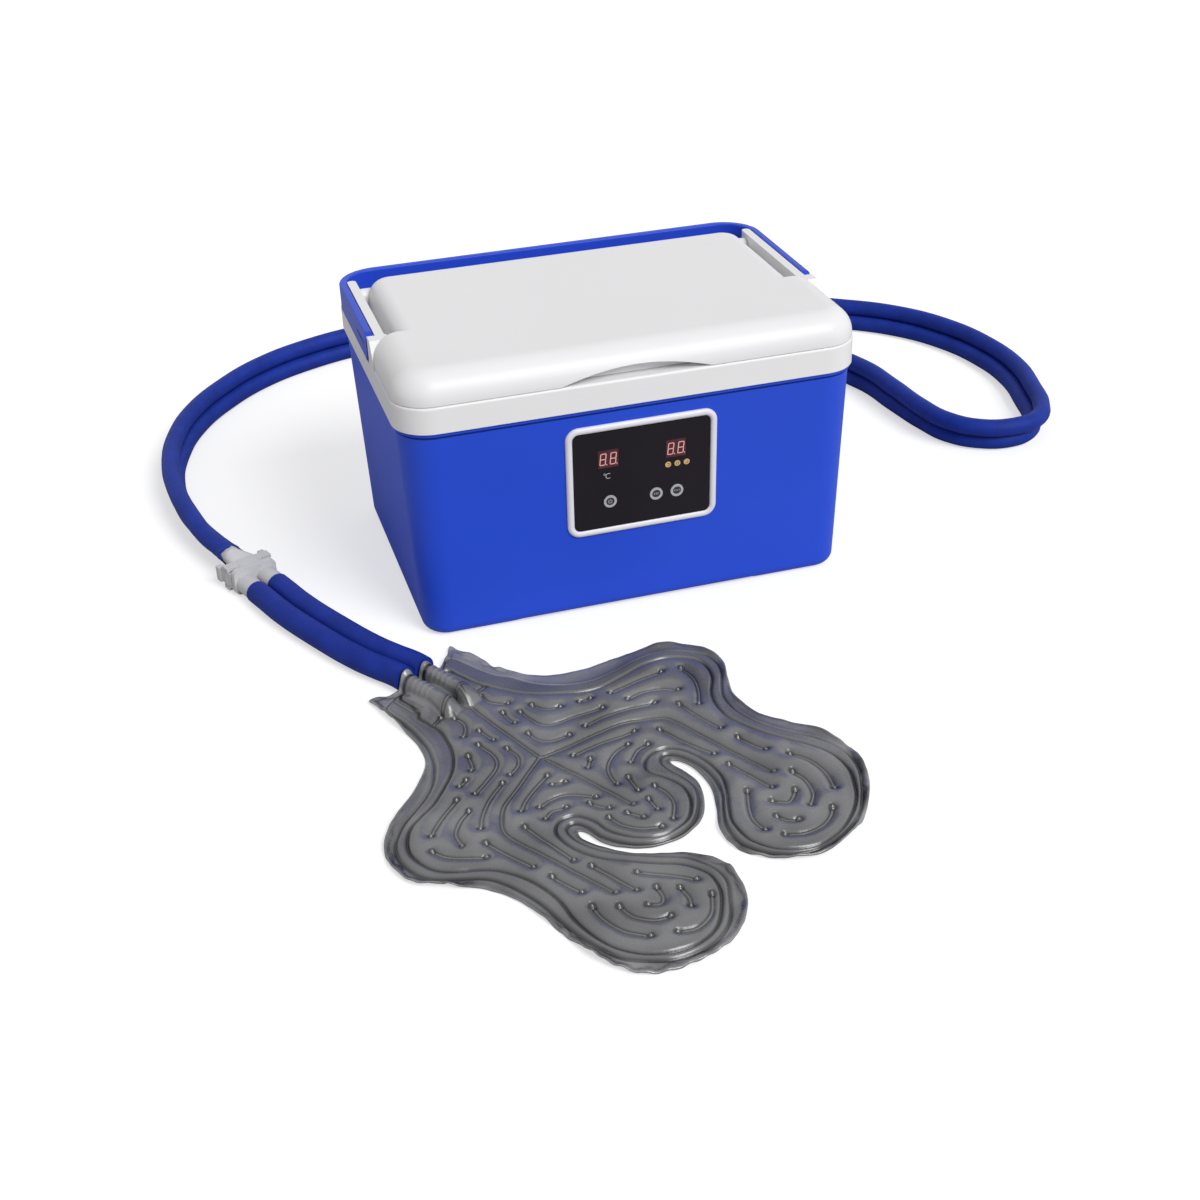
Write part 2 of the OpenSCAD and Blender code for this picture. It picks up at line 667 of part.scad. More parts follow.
// A lid-shaped solid, drawn in by inset on every side and at the top
module lid_form(inset, low) {
  high = lid_top - inset;
  neck_r = lid_corner_r - inset;
  neck_x = lid_neck - lid_corner_r;
  neck_y = lid_back - lid_corner_r;
  split = lid_split - inset;
  slant = (block_foot_d - block_top_d) / (rail_top - part_z);
  // Front part: two corners, the front edge and two short sides
  intersection() {
    union() {
      both_sides() translate([corner_x, -corner_y, 0]) {
        rotate_extrude(start = 270, angle = 90, $fn = smooth)
          lid_outline(lid_r - inset, lid_edge_r - inset / 2, low, high);
        rotate([90, 0, 0]) mirror([0, 0, 1]) linear_extrude(corner_y)
          lid_outline(lid_r - inset, lid_edge_r - inset / 2, low, high);
      }
      translate([corner_x, -corner_y, 0]) rotate([90, 0, -90])
        linear_extrude(2 * corner_x) lid_outline(lid_r - inset, lid_edge_r - inset / 2, low, high);
      box([-corner_x, -corner_y, low], [corner_x, 0, high]);
    }
    // Its back leans like the block behind it
    translate([-collar_w, 0, 0]) rotate([90, 0, 90]) linear_extrude(2 * collar_w)
      polygon([[-collar_d, low], [split + slant * (low - part_z), low],
        [split + slant * (high + cut - part_z), high + cut], [-collar_d, high + cut]]);
  }
  // Back part between the rails
  both_sides() translate([neck_x, neck_y, 0])
    rotate_extrude(angle = 90, $fn = smooth) lid_outline(neck_r, lid_notch_r - inset / 2, low, high);
  both_sides() translate([neck_x, neck_y, 0]) rotate([90, 0, 0])
    linear_extrude(neck_y + corner_y) lid_outline(neck_r, lid_notch_r - inset / 2, low, high);
  translate([-neck_x, neck_y, 0]) rotate([90, 0, 90])
    linear_extrude(2 * neck_x) lid_outline(neck_r, lid_notch_r - inset / 2, low, high);
  box([-neck_x, -corner_y, low], [neck_x, neck_y, high]);
}

// Arch of the finger grip, cut into the front edge
module finger_grip(grow) {
  arch_r = (pow(grip_w / 2, 2) + pow(grip_h, 2)) / (2 * grip_h);
  intersection() {
    rod_y(0, -collar_d / 2 - cut, lid_z + grip_h - arch_r, 2 * (arch_r + grow), grip_depth + grow + cut);
    box([-grip_w, -collar_d, lid_z - 2 * cut], [grip_w, 0, lid_top]);
  }
}

// Everything behind the hinge axis that would strike the shelf as the lid turns
module rolled_edge(r) {
  translate([-collar_w, 0, 0]) rotate([90, 0, 90]) linear_extrude(2 * collar_w) difference() {
    translate([hinge_y, hinge_z - 3 * r]) square([3 * r, 3 * r]);
    translate([hinge_y, hinge_z]) circle(r, $fn = smooth);
  }
}

module lid_shell() {
  color(white) {
    difference() {
      lid_form(0, lid_z);
      difference() {
        lid_form(lid_wall, lid_z - cut);
        finger_grip(lid_wall);
        rolled_edge(lid_back - hinge_y - lid_wall);
      }
      finger_grip(0);
      rolled_edge(lid_back - hinge_y);
    }
    both_sides() {
      rod_x(lid_neck - lid_wall, hinge_y, hinge_z, 2 * hinge_lug_r, rail_in - lid_neck + lid_wall - fit);
      rod_x(lid_neck, hinge_y, hinge_z, hinge_pin_d - 2 * slip, rail_out - lid_neck - fit);
    }
  }
}

// Underside of the lid: a plate with a hollow plug that reaches into the tank
module lid_inner() {
  w = tank_half_w - plug_gap;
  front = -tank_front + plug_gap;
  back = tank_back - plug_gap;
  plate_z = lid_z + 0.3;
  wall = 2.5;
  half = lid_neck - lid_wall - 0.2;
  wide = corner_x + lid_r - lid_wall - 0.3;
  plate_front = collar_d / 2 - grip_depth - lid_wall - 0.4;
  color(white) difference() {
    union() {
      round_box([-half, -plate_front, plate_z], [half, hinge_y, plate_z + wall], tank_r - 4);
      round_box([-wide, -plate_front, plate_z], [wide, lid_split - lid_wall - 0.6, plate_z + wall],
        tank_r - 4);
      round_box([-w, front, lid_z - plug_drop], [w, back, plate_z + wall], tank_r - plug_gap);
    }
    round_box([-w + wall, front + wall, lid_z - plug_drop + wall],
      [w - wall, back - wall, lid_top], tank_r - plug_gap - wall);
    gasket_ring(plate_z - cut, lid_z + 1.5 + end_gap, gasket_w, end_gap);
  }
}

module gasket_ring(low, high, width, play = 0) {
  in = gasket_half - [play, play, play];
  out = gasket_half + [width + play, width + play, width + play];
  difference() {
    round_box([-out[0], -out[1], low], [out[0], out[2], high], tank_r + width + play);
    round_box([-in[0], -in[1], low - cut], [in[0], in[2], high + cut], tank_r - play);
  }
}

module lid_gasket() {
  color([0.82, 0.83, 0.84]) gasket_ring(lid_z, lid_z + 1.5, gasket_w);
}

module lid_foam() {
  w = tank_half_w - plug_gap - 2.7;
  color([0.96, 0.93, 0.80])
    round_box([-w, -tank_front + plug_gap + 2.7, lid_z - plug_drop + 2.6],
      [w, tank_back - plug_gap - 2.7, lid_top - lid_wall - 0.2], tank_r - plug_gap - 3);
}

// ---- Bail handle ----

// Side view of a bail arm from its round front end back to the corner
module bail_arm_outline() {
  front = bail_front;
  r = bail_end_r;
  translate([front + r, bail_z]) square([bail_back - bail_r - front - r, bail_h]);
  translate([front, bail_z + r]) square([r + 1, bail_h - 2 * r]);
  for (z = [bail_z + r, bail_z + bail_h - r]) translate([front + r, z]) circle(r, $fn = smooth);
}

// Section of the bail's band, as distance from the band's inner face and height
module bail_section() {
  translate([bail_t / 2, bail_z + bail_h / 2]) round_rect(bail_t, bail_h, bail_edge_r);
}

module bail_handle() {
  corner = [bail_out - bail_r, bail_back - bail_r];
  color(blue) difference() {
    union() {
      both_sides() {
        intersection() {
          translate([bail_in, 0, 0]) rotate([90, 0, 90]) linear_extrude(bail_t) bail_arm_outline();
          translate([bail_in, corner[1], 0]) rotate([90, 0, 0])
            linear_extrude(corner[1] - bail_front + cut) bail_section();
        }
        translate([corner[0], corner[1], 0])
          rotate_extrude(angle = 90, $fn = smooth) translate([bail_r - bail_t, 0]) bail_section();
        // Pin that turns in the rail
        rod_x(rail_in + fit, -bail_pivot_y, bail_mid_z, bail_pin_d - 2 * slip, bail_in - rail_in);
      }
      translate([-corner[0], bail_back - bail_t, 0]) rotate([90, 0, 90])
        linear_extrude(2 * corner[0]) bail_section();
    }
    // Slit that lets the arm's end flex when the pin is snapped in
    both_sides() box([bail_out - bail_t / 2, -bail_pivot_y, bail_mid_z - 0.2],
      [bail_out + cut, slit_l - bail_pivot_y, bail_mid_z + 1.6]);
  }
}

// ---- Control panel, all in the panel's frame ----

module panel_screw_places() {
  for (sx = [-1, 1], sy = [-1, 1]) translate([sx * screw_x, sy * screw_y, 0]) children();
}

// Four hooks of the bezel, or with play their windows in the tray
module bezel_hooks(play) {
  for (sx = [-1, 1], sy = [-1, 1]) translate([sx * (neck_w / 2 + 0.5), sy * hook_y, -hook_z])
    cube([3 + 2 * play, hook_w + 2 * play, 2 + play], center = true);
}

// Section of the bezel, as radius and height: the neck through the shell, the ledge
// that the plate lies on, and a foot with a round bead that stands in it
module bezel_section() {
  bead_r = (pow(bezel_rim / 2, 2) + pow(bezel_bead, 2)) / (2 * bezel_bead);
  neck_r = bezel_r - (bezel_w - neck_w) / 2;
  foot = (bezel_out - bezel_bead) / 2;
  polygon([[neck_r - neck_wall, -neck_d], [neck_r, -neck_d], [neck_r, 0], [bezel_r, 0],
    [bezel_r, foot], [plate_r, foot], [plate_r, plate_back], [neck_r - neck_wall, plate_back]]);
  intersection() {
    translate([plate_r, foot / 2]) square([bezel_rim, bezel_out]);
    translate([bezel_r - bezel_rim / 2, bezel_out - bead_r]) circle(bead_r, $fn = smooth);
  }
}

module panel_bezel() {
  color(white) on_panel() {
    sweep_round(bezel_w / 2 - bezel_r, bezel_h / 2 - bezel_r) bezel_section();
    bezel_hooks(0);
  }
}

module display_places() {
  for (s = [-1, 1]) translate([s * display_x, display_y, 0]) children();
}

module led_places() {
  for (i = [-1 : 1]) translate([led_x + i * led_pitch, led_y, 0]) children();
}

module button_places() {
  for (x = [power_x, mode_x, time_x]) translate([x, button_y, 0]) children();
}

module panel_plate() {
  gap = 0.2;
  color(black) on_panel() difference() {
    translate([0, 0, plate_back]) linear_extrude(plate_t)
      round_rect(bezel_w - 2 * bezel_rim - 2 * gap, bezel_h - 2 * bezel_rim - 2 * gap, plate_r - gap);
    translate([0, 0, plate_back - cut]) linear_extrude(plate_t + 2 * cut) {
      display_places() square(display_size, center = true);
      led_places() circle(d = led_d + 0.4, $fn = smooth);
      button_places() circle(d = button_d + 0.5, $fn = smooth);
    }
  }
}

// A two-digit display module that stands on the board behind its window
module display_module() {
  size = display_size - [0.4, 0.4];
  translate([-size[0] / 2, -size[1] / 2, board_top]) cube([size[0], size[1], plate_top - 0.3 - board_top]);
}

module temperature_display() {
  color([0.20, 0.03, 0.03]) on_panel() translate([-display_x, display_y, 0]) display_module();
}

module timer_display() {
  color([0.20, 0.03, 0.03]) on_panel() translate([display_x, display_y, 0]) display_module();
}

module indicator_leds() {
  color([0.95, 0.60, 0.15]) on_panel() led_places()
    translate([0, 0, board_top]) cylinder(d = led_d, h = plate_top - 0.1 - board_top, $fn = smooth);
}

// A button: cap with a hollow face, retaining flange behind the plate, and stem
// into its switch
module button() {
  flange_t = 0.8;
  flange_top = plate_back - fit;
  face = plate_top + 0.4;
  translate([0, 0, flange_top - flange_t]) cylinder(d = button_d + 2.4, h = flange_t, $fn = smooth);
  translate([0, 0, flange_top - flange_t]) difference() {
    cylinder(d = button_d, h = face - flange_top + flange_t, $fn = smooth);
    translate([0, 0, face - flange_top + flange_t - 0.35])
      cylinder(d = button_d * 0.64, h = cut, $fn = smooth);
  }
  translate([0, 0, switch_top - 1]) cylinder(d = stem_d, h = flange_top - switch_top + 0.6, $fn = smooth);
}

module power_button() {
  color([0.72, 0.73, 0.75]) on_panel() translate([power_x, button_y, 0]) button();
}

module mode_button() {
  color([0.72, 0.73, 0.75]) on_panel() translate([mode_x, button_y, 0]) button();
}

module time_button() {
  color([0.72, 0.73, 0.75]) on_panel() translate([time_x, button_y, 0]) button();
}

module button_switches() {
  size = 6.2;
  well = 1 + button_travel + 1;
  color(black) on_panel() button_places() difference() {
    translate([-size / 2, -size / 2, board_top]) cube([size, size, switch_top - board_top]);
    translate([0, 0, switch_top - well]) cylinder(d = stem_d + 0.4, h = well + cut, $fn = smooth);
  }
}

module control_board() {
  color([0.05, 0.35, 0.16]) on_panel() translate([0, 0, board_top - board_t])
    linear_extrude(board_t) square([2 * post_x + 9, 2 * post_y + 8], center = true);
}

// Tray behind the wall: flange against the wall's inside, box and board posts
module panel_housing() {
  w = neck_w + 1;
  h = neck_h + 1;
  inner_face = -shell_wall - 0.2;
  color(grey) on_panel() difference() {
    union() {
      translate([0, 0, inner_face - 2]) linear_extrude(2) round_rect(bezel_w + 2 * tray_side, bezel_h + 2, 8);
      translate([0, 0, -box_depth - shell_wall]) linear_extrude(box_depth + shell_wall + inner_face)
        round_rect(w + 2 * box_wall, h + 2 * box_wall, 7);
    }
    difference() {
      translate([0, 0, -box_depth - shell_wall + box_wall]) linear_extrude(box_depth + shell_wall)
        round_rect(w, h, 6);
      for (sx = [-1, 1], sy = [-1, 1]) translate([sx * post_x, sy * post_y, -box_depth - shell_wall])
        cylinder(d = 6, h = box_depth + shell_wall + board_top - board_t, $fn = smooth);
    }
    panel_screw_places() translate([0, 0, inner_face - 3]) cylinder(d = 3, h = 4, $fn = smooth);
    bezel_hooks(0.5);
  }
}

// Four screws through the tray's flange into blind holes in the shell's wall
module housing_screws() {
  head_z = -shell_wall - 2.2;
  color(grey) on_panel() panel_screw_places() {
    translate([0, 0, head_z - 1.6]) cylinder(d = 4.4, h = 1.6, $fn = smooth);
    translate([0, 0, head_z - 0.2]) cylinder(d = 2.4, h = -head_z - 0.8, $fn = smooth);
  }
}

// ---- Pump, heater and inner tubes ----

module pump_body() {
  x = pump_at[0];
  y = pump_at[1];
  color(black) difference() {
    union() {
      translate([x, y, cover_top]) cylinder(d = volute_d, h = 2, $fn = smooth);
      translate([x, y, cover_top]) cylinder(d = motor_d, h = volute_z - cover_top, $fn = smooth);
      translate([x, y, volute_z]) cylinder(d = volute_d, h = chamber_z + chamber_h - volute_z, $fn = smooth);
      rod_x(x, outlet_y, outlet_z, spigot_d, outlet_end - x);
    }
    translate([x, y, chamber_z]) cylinder(d = chamber_d, h = chamber_h + cut, $fn = smooth);
    rod_x(x, outlet_y, outlet_z, spigot_bore, outlet_end - x + cut);
    translate([x, y, chamber_z - 2]) cylinder(d = shaft_d + 0.02, h = 3, $fn = smooth);
  }
}

module pump_cover() {
  low = chamber_z + chamber_h;
  color(grey) translate([pump_at[0], pump_at[1], 0]) difference() {
    union() {
      translate([0, 0, low]) cylinder(d = volute_d, h = inlet_z - low, $fn = smooth);
      translate([0, 0, low]) cylinder(d = spigot_d, h = inlet_z - low + 8, $fn = smooth);
    }
    // Inlet bore, less a bridge that holds the shaft's upper end
    translate([0, 0, low - cut]) difference() {
      cylinder(d = spigot_bore, h = inlet_z - low + 10, $fn = smooth);
      box([-spigot_bore, -0.8, cut], [spigot_bore, 0.8, cut + 2]);
      cylinder(d = shaft_d + 1.6, h = 2 + cut, $fn = smooth);
    }
    translate([0, 0, low - cut]) cylinder(d = shaft_d + 0.02, h = cut + 1.6, $fn = smooth);
  }
}

module pump_shaft() {
  low = chamber_z - 1.9;
  color(white) translate([pump_at[0], pump_at[1], low])
    cylinder(d = shaft_d, h = chamber_h + 3.4, $fn = smooth);
}

module pump_impeller() {
  low = chamber_z + 0.8;
  disc_t = 2;
  blade_h = 4;
  hub_d = shaft_d + 6;
  color([0.85, 0.85, 0.80]) translate([pump_at[0], pump_at[1], low]) difference() {
    union() {
      cylinder(d = impeller_d, h = disc_t, $fn = smooth);
      cylinder(d = hub_d, h = disc_t + blade_h, $fn = smooth);
      for (i = [0 : blade_count - 1]) rotate([0, 0, i * 360 / blade_count])
        translate([hub_d / 2 - 1, -0.7, 0]) cube([(impeller_d - hub_d) / 2, 1.4, disc_t + blade_h]);
    }
    translate([0, 0, -cut]) cylinder(d = shaft_d + 0.1, h = disc_t + blade_h + 2 * cut, $fn = smooth);
  }
}

module heater() {
  color([0.75, 0.76, 0.78]) difference() {
    union() {
      rod_x(heater_x, outlet_y, outlet_z, heater_d, heater_l);
      rod_x(heater_x - spigot_l, outlet_y, outlet_z, spigot_d, heater_l + 2 * spigot_l);
    }
    rod_x(heater_x - spigot_l - cut, outlet_y, outlet_z, spigot_bore, heater_l + 2 * (spigot_l + cut));
  }
}

module pump_to_heater_tube() {
  from = outlet_end - 5;
  color([0.80, 0.82, 0.84]) difference() {
    rod_x(from, outlet_y, outlet_z, tube_od, heater_x - 1 - from);
    rod_x(from - cut, outlet_y, outlet_z, spigot_d + 0.1, heater_x - from + cut);
  }
}

module heater_to_port_tube() {
  start = heater_end + spigot_l + end_gap;
  route = [[start, outlet_y, outlet_z], [start + 6, outlet_y, outlet_z],
    [port_x + 2, outlet_y + 4, outlet_z], [port_x + 4, outlet_y + 14, outlet_z - 1],
    [port_x + 3, 62, 21], [port_x + 1, 74, 17.5], [port_x, port_inner - 9, port_z],
    [port_x, port_inner - end_gap, port_z]];
  color([0.80, 0.82, 0.84]) tube_along(route, spigot_d);
}

module return_tube() {
  top = return_nozzle_z;
  low = port_top_z + 20 + end_gap;
  end = tank_back + spigot_l + end_gap;
  route = [[port_x, return_elbow_y, low], [port_x, return_elbow_y, low + 9],
    [port_x, return_elbow_y - 1, top - 9], [port_x, return_elbow_y - 5, top - 3],
    [port_x, end + 6, top], [port_x, end, top]];
  color([0.80, 0.82, 0.84]) tube_along(route, spigot_d);
}

module suction_sleeve() {
  low = inlet_z + 1;
  color([0.80, 0.82, 0.84]) translate([pump_at[0], pump_at[1], low]) difference() {
    cylinder(d = tube_od, h = tank_floor_z - tank_wall - 0.2 - low, $fn = smooth);
    translate([0, 0, -cut]) cylinder(d = spigot_d + 0.1, h = tank_floor_z, $fn = smooth);
  }
}

// Slotted cap over the tank's outlet
module strainer() {
  d = 34;
  h = 14;
  slots = 12;
  color(grey) translate([pump_at[0], pump_at[1], tank_floor_z]) difference() {
    union() {
      cylinder(d = d, h = h, $fn = smooth);
      cylinder(d = d + 8, h = 1.6, $fn = smooth);
    }
    translate([0, 0, -cut]) cylinder(d = d - 4, h = h - 1, $fn = smooth);
    for (i = [0 : slots - 1]) rotate([0, 0, i * 360 / slots])
      translate([d / 2 - 4, -1, 3]) cube([6, 2, h - 6]);
  }
}

module temperature_probe() {
  color([0.75, 0.76, 0.78]) {
    rod_y(probe_x, -tank_front - tank_wall - 4, probe_z, 5, probe_l);
    rod_y(probe_x, -tank_front - tank_wall - 3, probe_z, 9, 3);
    rod_y(probe_x, -tank_front, probe_z, 9, 2);
  }
}

// ---- Hose ports and power inlet ----

module supply_port() {
  color(white) difference() {
    union() {
      rod_y(port_x, boss_face, port_z, port_flange_d, port_flange_t);
      rod_y(port_x, boss_back - port_nut_t - 1, port_z, port_body_d, boss_face - boss_back + port_nut_t + 1);
      rod_y(port_x, port_inner, port_z, port_barb_d, boss_back - port_inner);
    }
    rod_y(port_x, port_inner - cut, port_z, spigot_bore, hose_start - port_inner + 2 * cut);
  }
}

// The upper port turns up inside the housing
module return_port() {
  color(white) difference() {
    union() {
      rod_y(port_x, boss_face, port_top_z, port_flange_d, port_flange_t);
      rod_y(port_x, return_elbow_y - port_body_d / 2, port_top_z, port_body_d,
        boss_face - return_elbow_y + port_body_d / 2 + 1);
      translate([port_x, return_elbow_y, port_top_z]) cylinder(d = port_barb_d, h = 20, $fn = smooth);
    }
    rod_y(port_x, return_elbow_y, port_top_z, spigot_bore, hose_start - return_elbow_y + cut);
    translate([port_x, return_elbow_y, port_top_z]) cylinder(d = spigot_bore, h = 20 + cut, $fn = smooth);
  }
}

module hex_nut(x, z, bore, across) {
  translate([x, boss_back - port_nut_t, z]) rotate([-90, 0, 0]) difference() {
    cylinder(d = across / cos(30), h = port_nut_t, $fn = 6);
    translate([0, 0, -cut]) cylinder(d = bore, h = port_nut_t + 2 * cut, $fn = smooth);
  }
}

module port_nuts() {
  color(grey) for (z = [port_z, port_top_z]) hex_nut(port_x, z, port_body_d + 0.1, 18);
}

module power_inlet() {
  x = inlet_at[0];
  z = inlet_at[1];
  color(black) {
    difference() {
      union() {
        rod_y(x, boss_face, z, inlet_flange_d, 2);
        rod_y(x, inlet_inner, z, inlet_d, boss_face + 1 - inlet_inner);
      }
      rod_y(x, boss_face - 10, z, 6.5, 10 + 2 + cut);
    }
    rod_y(x, boss_face - 11, z, 2.1, 10);
  }
}

module inlet_nut() {
  color(grey) hex_nut(inlet_at[0], inlet_at[1], inlet_d + 0.1, 16);
}

module wire_harness() {
  color(black) {
    tube_along(pump_wire, 5, 8);
    tube_along(inlet_wire, 5, 8);
  }
}

// ---- Hoses, connector and pad ----

// The upper hose lies on the lower one, and the pair leans outwards in a bend
mid_route = [for (row = twin_route) [row[0], row[1], 0]];
function hose_side(i) = unit(cross(path_dir(mid_route, i), [0, 0, 1]));
function hose_route(s) = [for (i = [0 : len(twin_route) - 1]) let (row = twin_route[i])
  mid_route[i] + s * row[3] / 2 * sin(row[4]) * hose_side(i)
  + [0, 0, row[2] + (s + 1) / 2 * row[3] * cos(row[4])]];
lower_route = hose_route(-1);
upper_route = hose_route(1);

module supply_hose() {
  color(blue) tube_along(lower_route, twin_od);
}

module return_hose() {
  color(blue) tube_along(upper_route, twin_od);
}

module pad_supply_hose() {
  color(blue) tube_along(pad_hose_route(1), pad_hose_od);
}

module pad_return_hose() {
  color(blue) tube_along(pad_hose_route(-1), pad_hose_od);
}

// Section of the hood over the two hoses, which lean as the pair does there
module hood_outline(grow = 0) {
  d = twin_od - 0.4 + grow;
  translate([0, twin_r + twin_pitch / 2 * cos(hood_lean)]) rotate(hood_lean)
    round_rect(d, twin_pitch + d, d / 2 - 0.05);
}

// Machine half of the connector: the hood widens in two soft shoulders into the
// body that carries the latches
module connector_socket() {
  body_top = 21;
  neck_x = hood_x - 7;
  step = 0.1;
  color(white) on_connector() {
    translate([hood_end, 0, 0]) rotate([90, 0, 90]) linear_extrude(neck_x - hood_end + 1)
      hood_outline();
    hull() {
      translate([neck_x, 0, 0]) rotate([90, 0, 90]) linear_extrude(1) hood_outline(step);
      translate([hood_x + 2.5, 0, 0]) rotate([90, 0, 90]) linear_extrude(1)
        translate([0, body_top / 2 + 1]) round_rect(2 * body_half - step, body_top - step, 7);
    }
    translate([hood_x + 3, 0, 0]) rotate([90, 0, 90]) linear_extrude(flange_x - hood_x - 3)
      translate([0, body_top / 2 + 1]) round_rect(2 * body_half, body_top, 7);
    // Ears that carry the latch pins
    for (s = [-1, 1]) for (z = [2, 18]) translate([0, s * latch_y, z]) {
      difference() {
        box([latch_pin_x - 4, s > 0 ? -8 : -3, 0], [latch_pin_x + 4, s > 0 ? 3 : 8, 3]);
        translate([latch_pin_x, 0, -cut]) cylinder(d = latch_pin_d + 0.1, h = 3 + 2 * cut, $fn = smooth);
      }
    }
  }
}

// Pad half: flange with catches for the latches, and two sleeves
module connector_plug() {
  color(white) on_connector() difference() {
    union() {
      translate([flange_x, 0, 0]) rotate([90, 0, 90]) linear_extrude(-sleeve_l - flange_x)
        translate([0, 11]) round_rect(2 * latch_y + 4, 21, 5);
      for (s = [-1, 1]) rod_x(-sleeve_l - 1, s * sleeve_y, sleeve_z, sleeve_d, sleeve_l + 1);
    }
    for (s = [-1, 1]) rod_x(flange_x - cut, s * sleeve_y, sleeve_z, spigot_bore, -flange_x + 2 * cut);
  }
}

// A latch: a lever on its pin, with a thumb pad at the back
module latch(side) {
  on_connector() mirror([0, side < 0 ? 1 : 0, 0]) translate([latch_pin_x, latch_y, 5 + fit]) difference() {
    union() {
      cylinder(d = 6, h = latch_h, $fn = smooth);
      box([-latch_l / 2 - 3, 0.6 - latch_t / 2, 0], [7.5 - fit, 0.6 + latch_t / 2, latch_h]);
      box([-latch_l / 2 - 5, 0, 0], [-latch_l / 2 + 1, latch_t + 0.8, latch_h]);
    }
    translate([0, 0, -cut]) cylinder(d = latch_pin_d + 2 * slip, h = latch_h + 2 * cut, $fn = smooth);
  }
}

module left_latch() {
  color(white) latch(-1);
}

module right_latch() {
  color(white) latch(1);
}

module latch_pins() {
  color(grey) on_connector() for (s = [-1, 1])
    translate([latch_pin_x, s * latch_y, 2]) cylinder(d = latch_pin_d, h = 19, $fn = smooth);
}

// A smooth closed curve through the corners, with steps points to each
function curve_point(a, b, c, d, t) =
  (2 * b + (c - a) * t + (2 * a - 5 * b + 4 * c - d) * t * t
  + (3 * b - a - 3 * c + d) * t * t * t) / 2;
function closed_curve(p, steps) = let (n = len(p)) [for (i = [0 : n - 1], k = [0 : steps - 1])
  curve_point(p[(i + n - 1) % n], p[i], p[(i + 1) % n], p[(i + 2) % n], k / steps)];
pad_outline = [for (p = closed_curve(pad_corners, 2)) pad_point(p[0], p[1])];

module pad_neck_rods(d, from, l) {
  for (s = [-1, 1]) {
    p = pad_point(neck_u + s * barb_u, from);
    translate([p[0], p[1], barb_z]) rotate([0, 0, pad_along]) rotate([0, 90, 0])
      cylinder(d = d, h = l, $fn = smooth);
  }
}

module pad_barbs() {
  color([0.75, 0.78, 0.82]) difference() {
    union() {
      pad_neck_rods(barb_d, barb_v, barb_l);
      for (i = [0 : 4]) pad_neck_rods(barb_d + 1.6, barb_v + 8 + 5 * i, 2);
    }
    pad_neck_rods(5, barb_v - cut, barb_l + 2 * cut);
  }
}

module therapy_pad() {
  color([0.50, 0.52, 0.56]) difference() {
    union() {
      linear_extrude(pad_rim_t) polygon(pad_outline);
      linear_extrude(pad_t) offset(delta = -pad_rim_w) polygon(pad_outline);
      pad_neck_rods(neck_tube_d, barb_v + 3.5, barb_l);
    }
    pad_neck_rods(barb_d + 1.8, barb_v - cut, barb_l + cut + 0.2);
  }
}

outer_shell();
base_cover();
base_screws();
inner_liner();
insulation();
collar();
lid_shell();
lid_inner();
lid_foam();
lid_gasket();
bail_handle();
panel_bezel();
panel_plate();
temperature_display();
timer_display();
indicator_leds();
power_button();
mode_button();
time_button();
button_switches();
control_board();
panel_housing();
housing_screws();
pump_body();
pump_cover();
pump_shaft();
pump_impeller();
heater();
pump_to_heater_tube();
heater_to_port_tube();
return_tube();
suction_sleeve();
strainer();
temperature_probe();
supply_port();
return_port();
port_nuts();
power_inlet();
inlet_nut();
wire_harness();
supply_hose();
return_hose();
connector_socket();
connector_plug();
left_latch();
right_latch();
latch_pins();
pad_supply_hose();
pad_return_hose();
pad_barbs();
therapy_pad();
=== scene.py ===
"""Looks of a hot and cold therapy machine: housing, hoses, connector and knee pad."""

import bpy
import json
import math
import numpy as np
from mathutils import Matrix, Vector
from mathutils.geometry import delaunay_2d_cdt
from mathutils.kdtree import KDTree


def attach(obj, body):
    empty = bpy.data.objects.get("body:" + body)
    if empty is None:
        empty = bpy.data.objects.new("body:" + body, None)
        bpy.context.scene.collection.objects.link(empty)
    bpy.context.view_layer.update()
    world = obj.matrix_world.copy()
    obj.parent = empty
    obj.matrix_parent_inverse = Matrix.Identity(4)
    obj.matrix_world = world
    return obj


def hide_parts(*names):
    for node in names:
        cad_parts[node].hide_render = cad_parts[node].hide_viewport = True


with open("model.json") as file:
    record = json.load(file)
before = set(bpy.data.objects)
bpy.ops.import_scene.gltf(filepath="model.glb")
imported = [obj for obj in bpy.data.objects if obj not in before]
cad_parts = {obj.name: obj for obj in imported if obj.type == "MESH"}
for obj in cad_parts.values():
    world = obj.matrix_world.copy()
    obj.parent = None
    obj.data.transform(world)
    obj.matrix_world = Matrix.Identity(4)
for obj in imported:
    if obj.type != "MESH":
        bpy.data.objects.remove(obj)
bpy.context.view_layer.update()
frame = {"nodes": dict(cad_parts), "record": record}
NODES = frame["nodes"]
scene = bpy.context.scene
MM = 0.001

# Sizes of the housing in millimetres, as in the CAD source
CORNER_X, CORNER_Y = 147.0, 96.5     # centres of the upright corners
FOOT_R = 19.0                        # corner radius at the floor
SHELL_TAPER, COLLAR_Z = 6.5, 170.5   # how far a wall leans out, up to that height


def wall_r(z):
    """Corner radius of the shell at a height."""
    return FOOT_R + z * SHELL_TAPER / COLLAR_Z


